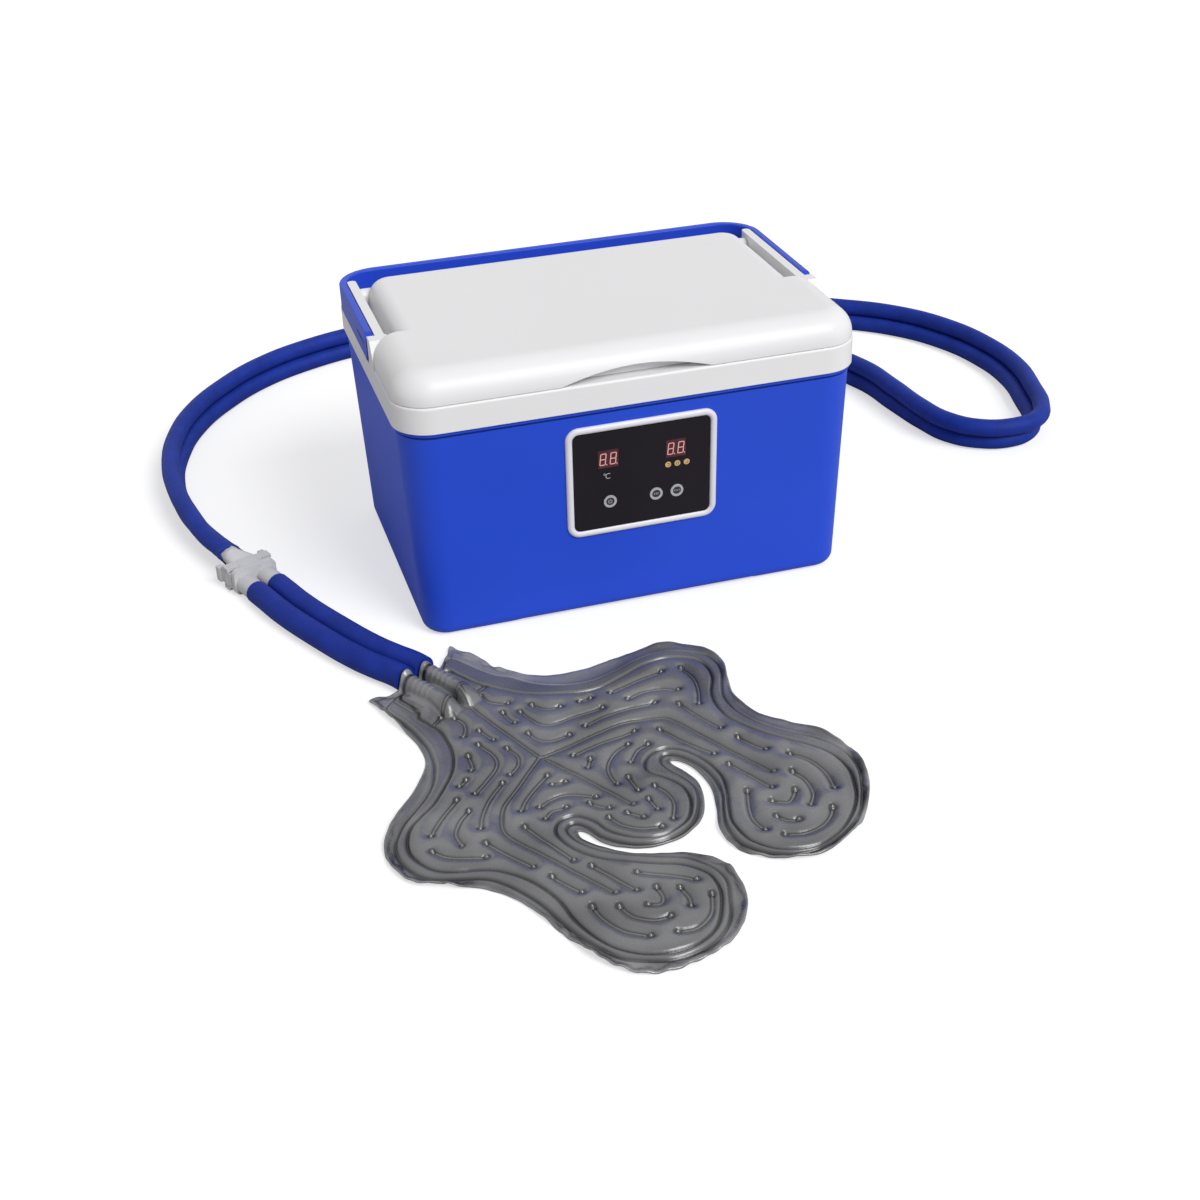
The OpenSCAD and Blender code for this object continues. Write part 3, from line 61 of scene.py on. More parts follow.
# ---- Camera, solved from the photograph's straight edges ----
cam_data = bpy.data.cameras.new("camera")
cam = bpy.data.objects.new("camera", cam_data)
scene.collection.objects.link(cam)
right = Vector((0.9553941, -0.2937565, -0.0304836))
up = Vector((0.1754100, 0.4813744, 0.8587841))
back = -Vector((0.2375994, 0.8258243, -0.5114301))
cam.matrix_world = Matrix((
    (right.x, up.x, back.x, -0.344907),
    (right.y, up.y, back.y, -1.204344),
    (right.z, up.z, back.z, 0.682258),
    (0, 0, 0, 1)))
cam_data.sensor_width = 36.0
cam_data.lens = 51.811
cam_data.clip_start, cam_data.clip_end = 0.05, 30
scene.camera = cam


# ---- Materials ----
PLASTIC_IOR = 1.46


def empty_tree(owner):
    """What adds a node and what adds a link in the emptied shader of a material or world."""
    owner.use_nodes = True
    owner.node_tree.nodes.clear()
    return owner.node_tree.nodes.new, owner.node_tree.links.new


def material(name, color, rough=0.4, metallic=0.0, var=0.05, scale=40.0, rough_var=0.06,
             bump=0.00002, grain=1500.0, edge=0.0, transmission=0.0, glow=None,
             glow_strength=0.0, specular=0.5, painted_light=None, stretch=(1, 1, 1)):
    """A procedural plastic, metal or cloth. Broad noise varies the colour by var, fine noise
    of the given grain the roughness and the relief; edge is the radius of softened edges.
    A pair of greys, if given, sets the colour's factor at the lightest and the darkest of the
    mesh's attribute of painted light, from painted highlight to painted shade."""
    m = bpy.data.materials.new(name)
    new, link = empty_tree(m)
    out, b = new("ShaderNodeOutputMaterial"), new("ShaderNodeBsdfPrincipled")
    link(b.outputs["BSDF"], out.inputs["Surface"])
    coord, place = new("ShaderNodeTexCoord"), new("ShaderNodeMapping")
    place.inputs["Scale"].default_value = stretch
    link(coord.outputs["Object"], place.inputs["Vector"])
    broad, fine = new("ShaderNodeTexNoise"), new("ShaderNodeTexNoise")
    broad.inputs["Scale"].default_value, broad.inputs["Detail"].default_value = scale, 4
    fine.inputs["Scale"].default_value, fine.inputs["Detail"].default_value = grain, 3
    link(place.outputs["Vector"], broad.inputs["Vector"])
    link(place.outputs["Vector"], fine.inputs["Vector"])
    ramp = new("ShaderNodeValToRGB")
    ramp.color_ramp.elements[0].position, ramp.color_ramp.elements[1].position = 0.3, 0.7
    ramp.color_ramp.elements[0].color = [c * (1 - var) for c in color] + [1]
    ramp.color_ramp.elements[1].color = [min(1, c * (1 + var)) for c in color] + [1]
    link(broad.outputs["Fac"], ramp.inputs["Fac"])
    tint = ramp.outputs["Color"]
    # an attribute of painted light on the mesh, through a ramp of greys, lightens or darkens the
    # colour
    if painted_light:
        mark, tone, mix = (new("ShaderNodeAttribute"), new("ShaderNodeValToRGB"),
                           new("ShaderNodeMix"))
        mark.attribute_name = "painted_light"
        for stop, grey in zip(tone.color_ramp.elements, painted_light):
            stop.color = (grey, grey, grey, 1)
        middle = tone.color_ramp.elements.new(0.5)
        middle.color = (0.5, 0.5, 0.5, 1)
        mix.data_type, mix.blend_type = "RGBA", "MULTIPLY"
        mix.inputs[0].default_value = 1
        link(mark.outputs["Fac"], tone.inputs["Fac"])
        link(tint, mix.inputs[6])
        link(tone.outputs["Color"], mix.inputs[7])
        tint = mix.outputs[2]
    link(tint, b.inputs["Base Color"])
    spread = new("ShaderNodeMapRange")
    spread.inputs["To Min"].default_value = max(0.02, rough - rough_var)
    spread.inputs["To Max"].default_value = min(1, rough + rough_var)
    link(fine.outputs["Fac"], spread.inputs["Value"])
    link(spread.outputs["Result"], b.inputs["Roughness"])
    relief = new("ShaderNodeBump")
    relief.inputs["Distance"].default_value = bump
    link(fine.outputs["Fac"], relief.inputs["Height"])
    if edge:
        soft = new("ShaderNodeBevel")
        soft.samples = 4
        soft.inputs["Radius"].default_value = edge
        link(soft.outputs["Normal"], relief.inputs["Normal"])
    link(relief.outputs["Normal"], b.inputs["Normal"])
    for socket, value in (("Metallic", metallic), ("IOR", PLASTIC_IOR),
                          ("Transmission Weight", transmission),
                          ("Specular IOR Level", specular)):
        b.inputs[socket].default_value = value
    if glow:
        b.inputs["Emission Color"].default_value = list(glow) + [1]
        b.inputs["Emission Strength"].default_value = glow_strength
    return m


BLUE = (0.016, 0.070, 0.625)
blue_shell = material("blue_moulding", BLUE, rough=0.44, var=0.03, scale=9, bump=0.00003,
                      grain=2600, edge=0.0003, specular=0.32)
blue_bail = material("blue_bail", (0.015, 0.060, 0.57), rough=0.42, var=0.03, scale=15,
                     bump=0.00002, grain=2400, edge=0.0005, specular=0.3)
# dark blue of the strip that paints the ledge's shadow on the shell
ledge_shadow_blue = material("ledge_shadow_blue", (0.007, 0.026, 0.230), rough=0.6, var=0.06, scale=60,
                     bump=0.00001, specular=0.1)
white_shell = material("white_moulding", (0.805, 0.802, 0.81), rough=0.38, var=0.012, scale=8,
                       bump=0.00002, grain=2200, edge=0.0006, specular=0.35)
white_lid = material("white_lid", (0.79, 0.787, 0.80), rough=0.36, var=0.012, scale=7,
                     bump=0.00002, grain=2300, edge=0.0006, specular=0.35)
white_frame = material("white_frame", (0.76, 0.755, 0.80), rough=0.34, var=0.03, scale=25,
                       bump=0.00001, grain=1800, edge=0.0002, specular=0.4)
white_inner = material("white_inner", (0.76, 0.77, 0.78), rough=0.45, var=0.02, scale=12,
                       bump=0.00003, grain=1400, edge=0.0006)
white_joint = material("white_joint", (0.56, 0.56, 0.575), rough=0.42, var=0.04, scale=70,
                       bump=0.00004, grain=1500, edge=0.0009)
black_case = material("black_case", (0.022, 0.022, 0.026), rough=0.5, var=0.12, scale=30,
                      bump=0.00004, grain=1600, edge=0.0005)
panel_film = material("panel_film", (0.0135, 0.0115, 0.0150), rough=0.36, var=0.10, scale=22,
                      bump=0.000008, grain=2500, specular=0.16)
display_film = material("display_film", (0.085, 0.026, 0.034), rough=0.32, var=0.2, scale=260,
                        bump=0.000006, grain=3000, specular=0.2)
display_field = material("display_field", (0.060, 0.006, 0.009), rough=0.35, var=0.2, scale=400,
                         bump=0.000005, grain=3000, glow=(0.25, 0.01, 0.015),
                         glow_strength=0.12)
digit_red = material("digit_red", (0.66, 0.40, 0.38), rough=0.4, var=0.12, scale=700,
                     bump=0.000005, grain=3000, glow=(0.80, 0.30, 0.27), glow_strength=0.16)
amber = material("amber_lens", (0.62, 0.40, 0.19), rough=0.35, var=0.15, scale=900,
                 bump=0.00001, grain=3000, glow=(0.8, 0.45, 0.15), glow_strength=0.05)
amber_mark = material("amber_mark", (0.10, 0.045, 0.015), rough=0.5, var=0.2, scale=900)
mark_grey = material("mark_grey", (0.45, 0.45, 0.47), rough=0.5, var=0.12, scale=900,
                     bump=0.000005)
button_ring = material("button_ring", (0.42, 0.425, 0.44), rough=0.38, var=0.05, scale=300,
                       bump=0.00001, grain=2500, edge=0.0003)
button_face = material("button_face", (0.030, 0.028, 0.033), rough=0.4, var=0.15, scale=400,
                       bump=0.00001)
steel = material("steel", (0.56, 0.57, 0.59), rough=0.32, metallic=1, var=0.06, scale=200,
                 bump=0.00001, grain=1200, stretch=(1, 1, 12), edge=0.0002)
nickel = material("nickel", (0.66, 0.64, 0.60), rough=0.2, metallic=1, var=0.05, scale=90,
                  bump=0.00001, grain=1500, edge=0.0003)
foam_core = material("foam_core", (0.84, 0.79, 0.58), rough=0.9, var=0.08, scale=120,
                     bump=0.0004, grain=900, specular=0.2)
silicone = material("silicone", (0.70, 0.72, 0.74), rough=0.55, var=0.04, scale=60,
                    bump=0.00003, grain=900)
board = material("board", (0.02, 0.20, 0.07), rough=0.4, var=0.15, scale=500, bump=0.00002)
grey_case = material("grey_case", (0.16, 0.165, 0.18), rough=0.5, var=0.06, scale=40,
                     bump=0.00004, grain=1500, edge=0.0005)
ceramic = material("ceramic", (0.86, 0.86, 0.82), rough=0.3, var=0.03, scale=100)
rotor = material("rotor", (0.66, 0.66, 0.60), rough=0.5, var=0.05, scale=90, bump=0.00003)
barb = material("barb", (0.58, 0.47, 0.36), rough=0.25, var=0.08, scale=150, bump=0.00001,
                transmission=0.35)
hose_foam = material("hose_foam", (0.008, 0.030, 0.275), rough=0.60, var=0.16, scale=55,
                     rough_var=0.10, bump=0.00010, grain=1300, specular=0.2)
pad_hose_foam = material("pad_hose_foam", (0.008, 0.028, 0.265), rough=0.60, var=0.14, scale=60,
                         rough_var=0.10, bump=0.00010, grain=1300, specular=0.2)
# the pad's greys multiply its colour by painted light, from painted highlight to painted shade in
# the grooves
pad_fabric = material("pad_fabric", (0.285, 0.286, 0.297), rough=0.28, metallic=0.14, var=0.10,
                      scale=34, rough_var=0.05, bump=0.00004, grain=1500,
                      painted_light=(0.95, 0.05), specular=0.7)

BY_SLOT = {
    "blue_shell": blue_shell, "black_plastic": black_case, "steel": steel, "nickel": nickel,
    "white_plastic": white_shell, "foam": foam_core, "gasket_rubber": silicone,
    "panel_black": panel_film, "display_glass": display_film, "led_amber": amber,
    "button_cap": button_ring, "circuit_board": board, "grey_plastic": grey_case,
    "ceramic": ceramic, "impeller_plastic": rotor, "heater_steel": steel,
    "hose_foam": hose_foam, "barb_plastic": barb, "pad_sheet": pad_fabric}
BY_NODE = {
    "bail_handle": blue_bail, "lid_shell": white_lid, "panel_bezel": white_frame,
    "inner_liner": white_inner, "lid_inner": white_inner, "connector_socket": white_joint,
    "connector_plug": white_joint, "left_latch": white_joint, "right_latch": white_joint}
for part in frame["record"]["subparts"]:
    obj = NODES[part["node"]]
    chosen = BY_NODE.get(part["node"], BY_SLOT[part["material_slot"]])
    obj.data.materials.clear()
    obj.data.materials.append(chosen)


def mesh_piece(name, points, faces, mat, body="housing", smooth=True):
    """A new mesh from points in millimetres, riding on a body."""
    mesh = bpy.data.meshes.new(name)
    mesh.from_pydata([[c * MM for c in p] for p in points], [], faces)
    mesh.update()
    if smooth:
        mesh.polygons.foreach_set("use_smooth", [True] * len(mesh.polygons))
    mesh.materials.append(mat)
    obj = bpy.data.objects.new(name, mesh)
    scene.collection.objects.link(obj)
    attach(obj, body)
    return obj


# ---- Hoses: the same routes as in the CAD source, in millimetres ----
PLUG_AT, PLUG_ANGLE = (-271.0, -10.5), math.radians(-69)


def plug_point(x, y=0.0):
    c, s = math.cos(PLUG_ANGLE), math.sin(PLUG_ANGLE)
    return (PLUG_AT[0] + x * c - y * s, PLUG_AT[1] + x * s + y * c)


PAD_AT = (-188.5, -155.1)
PAD_U, PAD_V = (0.8746197, 0.4848096), (0.4848096, -0.8746197)


def pad_point(u, v):
    return (PAD_AT[0] + u * PAD_U[0] + v * PAD_V[0], PAD_AT[1] + u * PAD_U[1] + v * PAD_V[1])


TWIN_OD, PAD_OD = 15.2, 18.0
TWIN_R, PITCH = TWIN_OD / 2, TWIN_OD + 0.1
HOOD_END, HOOD_LEAN = -60.0, 38.0
PORT_TOP_Z, BOSS_OUT, NUT_OUT = 38, 2.5, 3
HOSE_START = CORNER_Y + wall_r(PORT_TOP_Z) + BOSS_OUT + NUT_OUT
FOAM_SWELL = 0.00015   # metres added to a sleeve's radius, to press it on its neighbour
# x, y, height of the lower hose, distance between the two, degrees by which the pair leans
TWIN_ROUTE = [
    (110, HOSE_START + 0.05, 16, 22, 0), (110, HOSE_START + 14, 16, 22, 0),
    (111, 166, 12.5, 19.5, 0), (119, 208, TWIN_R, 16.5, 0), (152, 251, TWIN_R, PITCH, 5),
    (205, 273, TWIN_R, PITCH, 5), (260, 266, TWIN_R, PITCH, 5), (303, 234, TWIN_R, PITCH, 0),
    (325, 188, TWIN_R, PITCH, 0), (332, 136, TWIN_R, PITCH, 0), (338, 88, TWIN_R, PITCH, 10),
    (347, 56, TWIN_R, PITCH, 15), (367, 34, TWIN_R, PITCH, 20), (395, 26, TWIN_R, PITCH, 20),
    (421, 35, TWIN_R, PITCH, 25), (438, 60, TWIN_R, PITCH, 30), (449, 94, TWIN_R, PITCH, 35),
    (461, 146, TWIN_R, PITCH, 35), (459.5, 199.5, TWIN_R, PITCH, 30),
    (444, 254, TWIN_R, PITCH, 20), (413, 304, TWIN_R, PITCH, 20), (366, 343, TWIN_R, PITCH, 15),
    (313, 374, TWIN_R, PITCH, 10), (200, 424, TWIN_R, PITCH, 10), (78, 455, TWIN_R, PITCH, 10),
    (-50, 460, TWIN_R, PITCH, 10), (-112, 453, TWIN_R, PITCH, 10),
    (-168, 435.5, TWIN_R, PITCH, 15), (-218, 407, TWIN_R, PITCH, 15),
    (-259, 367, TWIN_R, PITCH, 15), (-292.5, 318.5, TWIN_R, PITCH, 15),
    (-313.5, 264, TWIN_R, PITCH, 15), (-323, 208, TWIN_R, PITCH, 10),
    (-321.5, 154, TWIN_R, PITCH, 14), (-314, 110.5, TWIN_R, PITCH, 23),
    (*plug_point(HOOD_END - 30), TWIN_R, PITCH, HOOD_LEAN),
    (*plug_point(HOOD_END - 0.05), TWIN_R, PITCH, HOOD_LEAN)]
PAD_MID = [plug_point(0.1), plug_point(12), (-256.4, -49), (-236.2, -91.4), (-214.5, -131),
           (-203.6, -146.8), pad_point(-6.5, 4), pad_point(-6.5, 13.9)]


def path_dir(p, i):
    """Direction of a route at its point i, seen from above."""
    a, b = p[max(i - 1, 0)], p[min(i + 1, len(p) - 1)]
    d = (b[0] - a[0], b[1] - a[1])
    n = math.hypot(*d)
    return d[0] / n, d[1] / n


def twin_path(s):
    """Centreline of the lower (s = -1) or the upper (s = 1) machine hose."""
    pts = []
    for i, (x, y, z, pitch, lean) in enumerate(TWIN_ROUTE):
        d = path_dir(TWIN_ROUTE, i)
        out = s * pitch / 2 * math.sin(math.radians(lean))
        pts.append((x + out * d[1], y - out * d[0],
                    z + (s + 1) / 2 * pitch * math.cos(math.radians(lean))))
    return pts


def pad_path(s):
    """Centreline of a pad hose, on the left (s = 1) or the right of the pair."""
    pts = []
    for i, p in enumerate(PAD_MID):
        d = path_dir(PAD_MID, i)
        side = s * (PAD_OD / 2 + 0.1)
        pts.append((p[0] - side * d[1], p[1] + side * d[0], PAD_OD / 2))
    return pts


def hose(name, pts, diameter, mat, replaced):
    """A foam-covered hose as a curve through the points."""
    curve = bpy.data.curves.new(name, "CURVE")
    curve.dimensions = "3D"
    spline = curve.splines.new("BEZIER")
    spline.bezier_points.add(len(pts) - 1)
    for k, p in zip(spline.bezier_points, pts):
        k.co = [c * MM for c in p]
        k.handle_left_type = k.handle_right_type = "AUTO"
    bpy.context.view_layer.update()
    for k in spline.bezier_points:
        if k.co.z < diameter * MM * 0.55:   # lies on the floor, so its handles are level
            k.handle_left_type = k.handle_right_type = "ALIGNED"
            k.handle_left.z = k.handle_right.z = k.co.z
    spline.resolution_u = 10
    curve.bevel_depth = diameter * MM / 2 + FOAM_SWELL
    curve.bevel_resolution = 7
    curve.use_fill_caps = True
    curve.materials.append(mat)
    obj = bpy.data.objects.new(name, curve)
    scene.collection.objects.link(obj)
    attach(obj, "housing")
    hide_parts(replaced)
    bpy.context.view_layer.update()


# ---- Connector: the foam's torn end over the hood ----
def foam_cuff():
    """The pair's foam where it ends over the hood: a double wall with a torn edge."""
    turns, rings, back = 96, 26, 7
    c, s = math.cos(math.radians(HOOD_LEAN)), math.sin(math.radians(HOOD_LEAN))
    half, cap = PITCH / 2, math.pi * TWIN_R
    centre_z = TWIN_R + half * c
    length = 2 * cap + 4 * half
    # the outline round both hoses: points, normals and how far round each one is
    ring = []
    for k in range(turns):
        d = k / turns * length
        if d < cap:
            a = d / TWIN_R
            p, n = (TWIN_R * math.cos(a), half + TWIN_R * math.sin(a)), (math.cos(a), math.sin(a))
        elif d < cap + 2 * half:
            p, n = (-TWIN_R, half - (d - cap)), (-1, 0)
        elif d < 2 * cap + 2 * half:
            a = math.pi + (d - cap - 2 * half) / TWIN_R
            p, n = (TWIN_R * math.cos(a), -half + TWIN_R * math.sin(a)), (math.cos(a), math.sin(a))
        else:
            p, n = (TWIN_R, -half + d - 2 * cap - 2 * half), (1, 0)
        ring.append((p, n, d / length))
    points, faces = [], []
    for layer in (0, 1):
        for j in range(rings):
            t = j / (rings - 1)
            for p, n, q in ring:
                a = 2 * math.pi * q
                torn = (1.5 * math.sin(3 * a + 0.7) + 1.0 * math.sin(7 * a + 2.1)
                        + 0.6 * math.sin(13 * a + 0.4))
                tip = HOOD_END + 7.5 + 4.5 * math.cos(a - 1.2) + torn
                x = HOOD_END - back + t * (tip - HOOD_END + back)
                swell = 0.30 + 0.25 * math.sin(5 * a + 9 * t) * t + 0.55 * t * t
                out = 0.25 + swell if layer else 0.02 + 0.25 * t * t
                y, z = p[0] + n[0] * out, p[1] + n[1] * out
                y, z = y * c - z * s, y * s + z * c + centre_z
                w = plug_point(x, y)
                points.append((w[0], w[1], max(0.15, z)))
    size = rings * turns
    for j in range(rings - 1):
        for k in range(turns):
            a, b = j * turns + k, j * turns + (k + 1) % turns
            faces.append((size + a, size + b, size + b + turns, size + a + turns))
            faces.append((b, a, a + turns, b + turns))
    for k in range(turns):
        k2 = (k + 1) % turns
        last = (rings - 1) * turns
        faces.append((last + k, size + last + k, size + last + k2, last + k2))
        faces.append((k2, size + k2, size + k, k))
    return mesh_piece("foam_cuff", points, faces, hose_foam)


cuff = foam_cuff()


# ---- Strain reliefs: ribbed tapered sleeves where the hoses leave the housing ----
def port_sleeve(name, pts):
    """A sleeve with seven ribs round the hose's first 24 mm, which droops with it."""
    x, y, z0 = pts[0]
    points, faces, n, outline = [], [], 48, []
    long, root_r, taper, ribs, steps = 24, 10.6, 2.6, 7, 48
    for k in range(steps + 1):
        t = k / steps
        rib = 0.35 * (0.5 + 0.5 * math.cos(2 * math.pi * t * ribs)) * (1 - t * 0.4)
        outline.append((t * long, root_r - taper * t + rib))
    outline = [(0, TWIN_R + 0.02)] + outline
    outline += [(long + 0.3, TWIN_R + 0.15), (long, TWIN_R + 0.02)]
    for d, r in outline:
        drop = 0.0 if d < 14 else -0.0015 * (d - 14) ** 2 * (1 if z0 < 20 else 1.6)
        for k in range(n):
            a = 2 * math.pi * k / n
            points.append((x + r * math.cos(a), y + d, max(0.2, z0 + drop + r * math.sin(a))))
    rows = len(outline)
    for j in range(rows):
        row, after = j * n, (j + 1) % rows * n
        for k in range(n):
            k2 = (k + 1) % n
            faces.append((row + k, after + k, after + k2, row + k2))
    return mesh_piece(name, points, faces, black_case)


lower, upper = twin_path(-1), twin_path(1)
sleeve_low = port_sleeve("supply_strain_relief", lower)
sleeve_high = port_sleeve("return_strain_relief", upper)
hose("supply_hose_foam", lower, TWIN_OD, hose_foam, "supply_hose")
hose("return_hose_foam", upper, TWIN_OD, hose_foam, "return_hose")
hose("pad_supply_foam", pad_path(1), PAD_OD, pad_hose_foam, "pad_supply_hose")
hose("pad_return_foam", pad_path(-1), PAD_OD, pad_hose_foam, "pad_return_hose")


# ---- Pad: its lines in its own frame, u across and v along, in millimetres ----
OUTLINE = [(-44, 7.5), (-36, 11), (-29, 14.6), (-20, 15.8), (-6.5, 15.6), (8, 15.6),
    (17, 14), (30, 7), (41.5, -2.2), (43, 14), (44, 31), (46, 49), (53, 67), (67, 82),
    (86, 92), (109, 99), (133, 105), (153, 116), (163, 137), (160, 160), (145, 179),
    (131, 198), (126, 221), (132, 244), (138, 269), (135, 295), (120, 319), (96, 338),
    (67, 350), (37, 349), (15, 334), (4, 309), (10, 287), (27, 269), (41, 252), (48, 233),
    (48, 220), (44.5, 214.5), (41, 219), (41, 232), (38, 245), (27, 259), (14, 269),
    (0, 273), (-15, 273), (-30, 266), (-42, 253), (-48, 240), (-47.5, 226), (-50, 221),
    (-53.5, 228), (-51, 243), (-43, 260), (-30, 276), (-17, 292), (-13, 310), (-21, 332),
    (-40, 350), (-67, 358), (-96, 352), (-118, 337), (-126, 314), (-125, 291), (-122, 265),
    (-121, 240), (-127, 217), (-141, 200), (-153, 182), (-153, 164), (-146, 146),
    (-131, 131), (-109, 119), (-86, 108), (-66, 93), (-56, 74), (-52, 55), (-49, 37),
    (-46, 20)]
# The outer weld line round the pad, and the inner one
OUTER = [(-42, 24), (-46, 30), (-46.5, 42), (-48.5, 60), (-53.6, 80), (-59.3, 92), (-66.4, 103),
    (-79.3, 115.7), (-93.6, 124.3), (-107.9, 130), (-122, 135.7), (-136.4, 145.7),
    (-143.6, 157), (-146.7, 168.6), (-146.4, 180), (-142, 190), (-132, 200), (-123.6, 208.6),
    (-118.6, 217), (-115.7, 228.6), (-114.7, 241.4), (-114.7, 255.7), (-117, 270),
    (-119, 284.3), (-119.6, 298.6), (-118.6, 311.4), (-115.7, 323), (-107.9, 334.3),
    (-97.9, 344.3), (-85, 350), (-72, 352), (-59.3, 350), (-47.9, 344.3), (-36.4, 334.3),
    (-25.6, 322.9), (-21.3, 311.4), (-21.7, 301.4), (-26, 288), (-36.7, 274.6), (-46.7, 260.3),
    (-54.6, 246), (-57.9, 233), (-57.5, 222), (-54, 214.5), (-49.5, 213.2), (-45.5, 216),
    (-43.6, 224), (-44.3, 235.7), (-41.4, 247.1), (-34.3, 258.6), (-24.3, 267), (-13, 270.5),
    (0, 270.5), (11, 266.3), (23.6, 257.1), (32.4, 245.7), (34.8, 234.3), (35, 223), (37, 213),
    (40.5, 208.3), (44.5, 207.4), (49, 210.5), (52, 217), (53, 225), (52, 237.5), (47, 251.4),
    (38.4, 264.3), (27, 274.8), (16.5, 286), (10, 298.6), (8.6, 309), (12, 322.9),
    (20.7, 335.7), (33.6, 344), (49.3, 346.7), (63.6, 346.5), (80.7, 342), (94, 334),
    (107.5, 324), (119, 312.5), (126, 300), (129, 287), (127.8, 272.9), (123.6, 258.6),
    (118.6, 244.3), (116, 230), (116.4, 215.7), (119.3, 202.9), (125, 191.4), (135, 181.4),
    (146.4, 171.4), (154.3, 160), (156.4, 147), (152, 135.7), (143.6, 124.3), (130.7, 117),
    (116.4, 114.3), (97.9, 112.9), (80.7, 110), (66.4, 103), (56.4, 93), (47.9, 80),
    (42.5, 62), (36.5, 50), (33.8, 33), (32.5, 17), (30, 11), (24, 11.6), (14, 18.4),
    (-6.5, 19.6), (-26, 19.8), (-32, 20.5)]
INNER = [(-35.5, 52), (-35.6, 63), (-36, 73), (-39.3, 83), (-47.9, 100), (-60.7, 114.3),
    (-76.4, 124.3), (-93.6, 133), (-107.9, 137), (-120.7, 141.4), (-130.7, 150), (-137, 160),
    (-138.6, 171.4), (-137, 183), (-130.7, 193), (-120.7, 201.4), (-112, 211.4),
    (-107, 223), (-104.3, 237), (-104.3, 251.4), (-107, 264.3), (-111.4, 277), (-113.9, 290),
    (-114.7, 303), (-112.9, 315.7), (-106.4, 328.6), (-96.4, 338.6), (-83.6, 345),
    (-72, 346.5), (-59.3, 344), (-46.4, 336), (-35, 325.5), (-28.4, 313), (-28.6, 302),
    (-33, 290), (-43.5, 277), (-53.5, 263), (-61, 250), (-64.8, 236), (-64.8, 223),
    (-61.5, 212.5), (-54.5, 207), (-47, 207), (-40, 212), (-37, 222.9), (-37.9, 234.3),
    (-35.7, 244.3), (-29.3, 255.7), (-19.3, 263.6), (-7.9, 266.5), (5, 265), (17.9, 255.5),
    (25.7, 244.3), (27.8, 234.3), (26.4, 224.3), (24, 215), (26, 208), (32, 202.8),
    (40.5, 200.8), (50, 203.2), (56.5, 211.4), (58.8, 223), (57.5, 237), (52.5, 251.4),
    (42.5, 264.3), (31, 275.7), (21, 287), (15.6, 300), (14, 311.4), (17.5, 325),
    (26, 335), (38, 342.5), (52, 344.5), (63.6, 343.5), (77.5, 339), (91, 332),
    (102, 322.5), (112, 311), (117.7, 299), (119.5, 287), (117.8, 273), (113, 258.6),
    (109, 244.3), (107, 230), (106.4, 215.7), (109.3, 203), (115, 191.4), (123.6, 181.4),
    (136.4, 171.4), (143.6, 161.4), (146.4, 151.4), (145, 143), (139.3, 134.3),
    (130.7, 127), (116.4, 123), (95, 122), (75, 120), (60.7, 113), (49.3, 103),
    (37.9, 91.4), (30.7, 80), (25.5, 66), (22.5, 57.5), (20.5, 48), (18.5, 30), (16, 21),
    (-6.5, 21), (-27, 22), (-29, 36), (-32, 47)]
# The seams that part the pad's chambers
SEAMS = [
    [(-0.8, 55), (-3.5, 75), (-6.8, 100), (-9.5, 125), (-12, 147)],
    [(-10.7, 153), (-9.3, 180), (-8.6, 205), (-7.9, 227.9)],
    [(-12, 147), (-29.3, 154), (-43.6, 160), (-65, 168.6), (-76.4, 178.6), (-83.2, 189),
     (-84, 203), (-82, 223), (-80.7, 244), (-79.3, 264), (-78.6, 279)],
    [(-12, 147), (-7.9, 149.3), (9.3, 153), (30.7, 156.4), (52, 161.4), (66.4, 170),
     (76.4, 178.6), (79, 189), (78.6, 209), (77.9, 237), (78, 273)],
    [(-35.5, 66), (-22, 62), (-10, 58), (-0.8, 55), (10, 57), (22.5, 57.5)]]
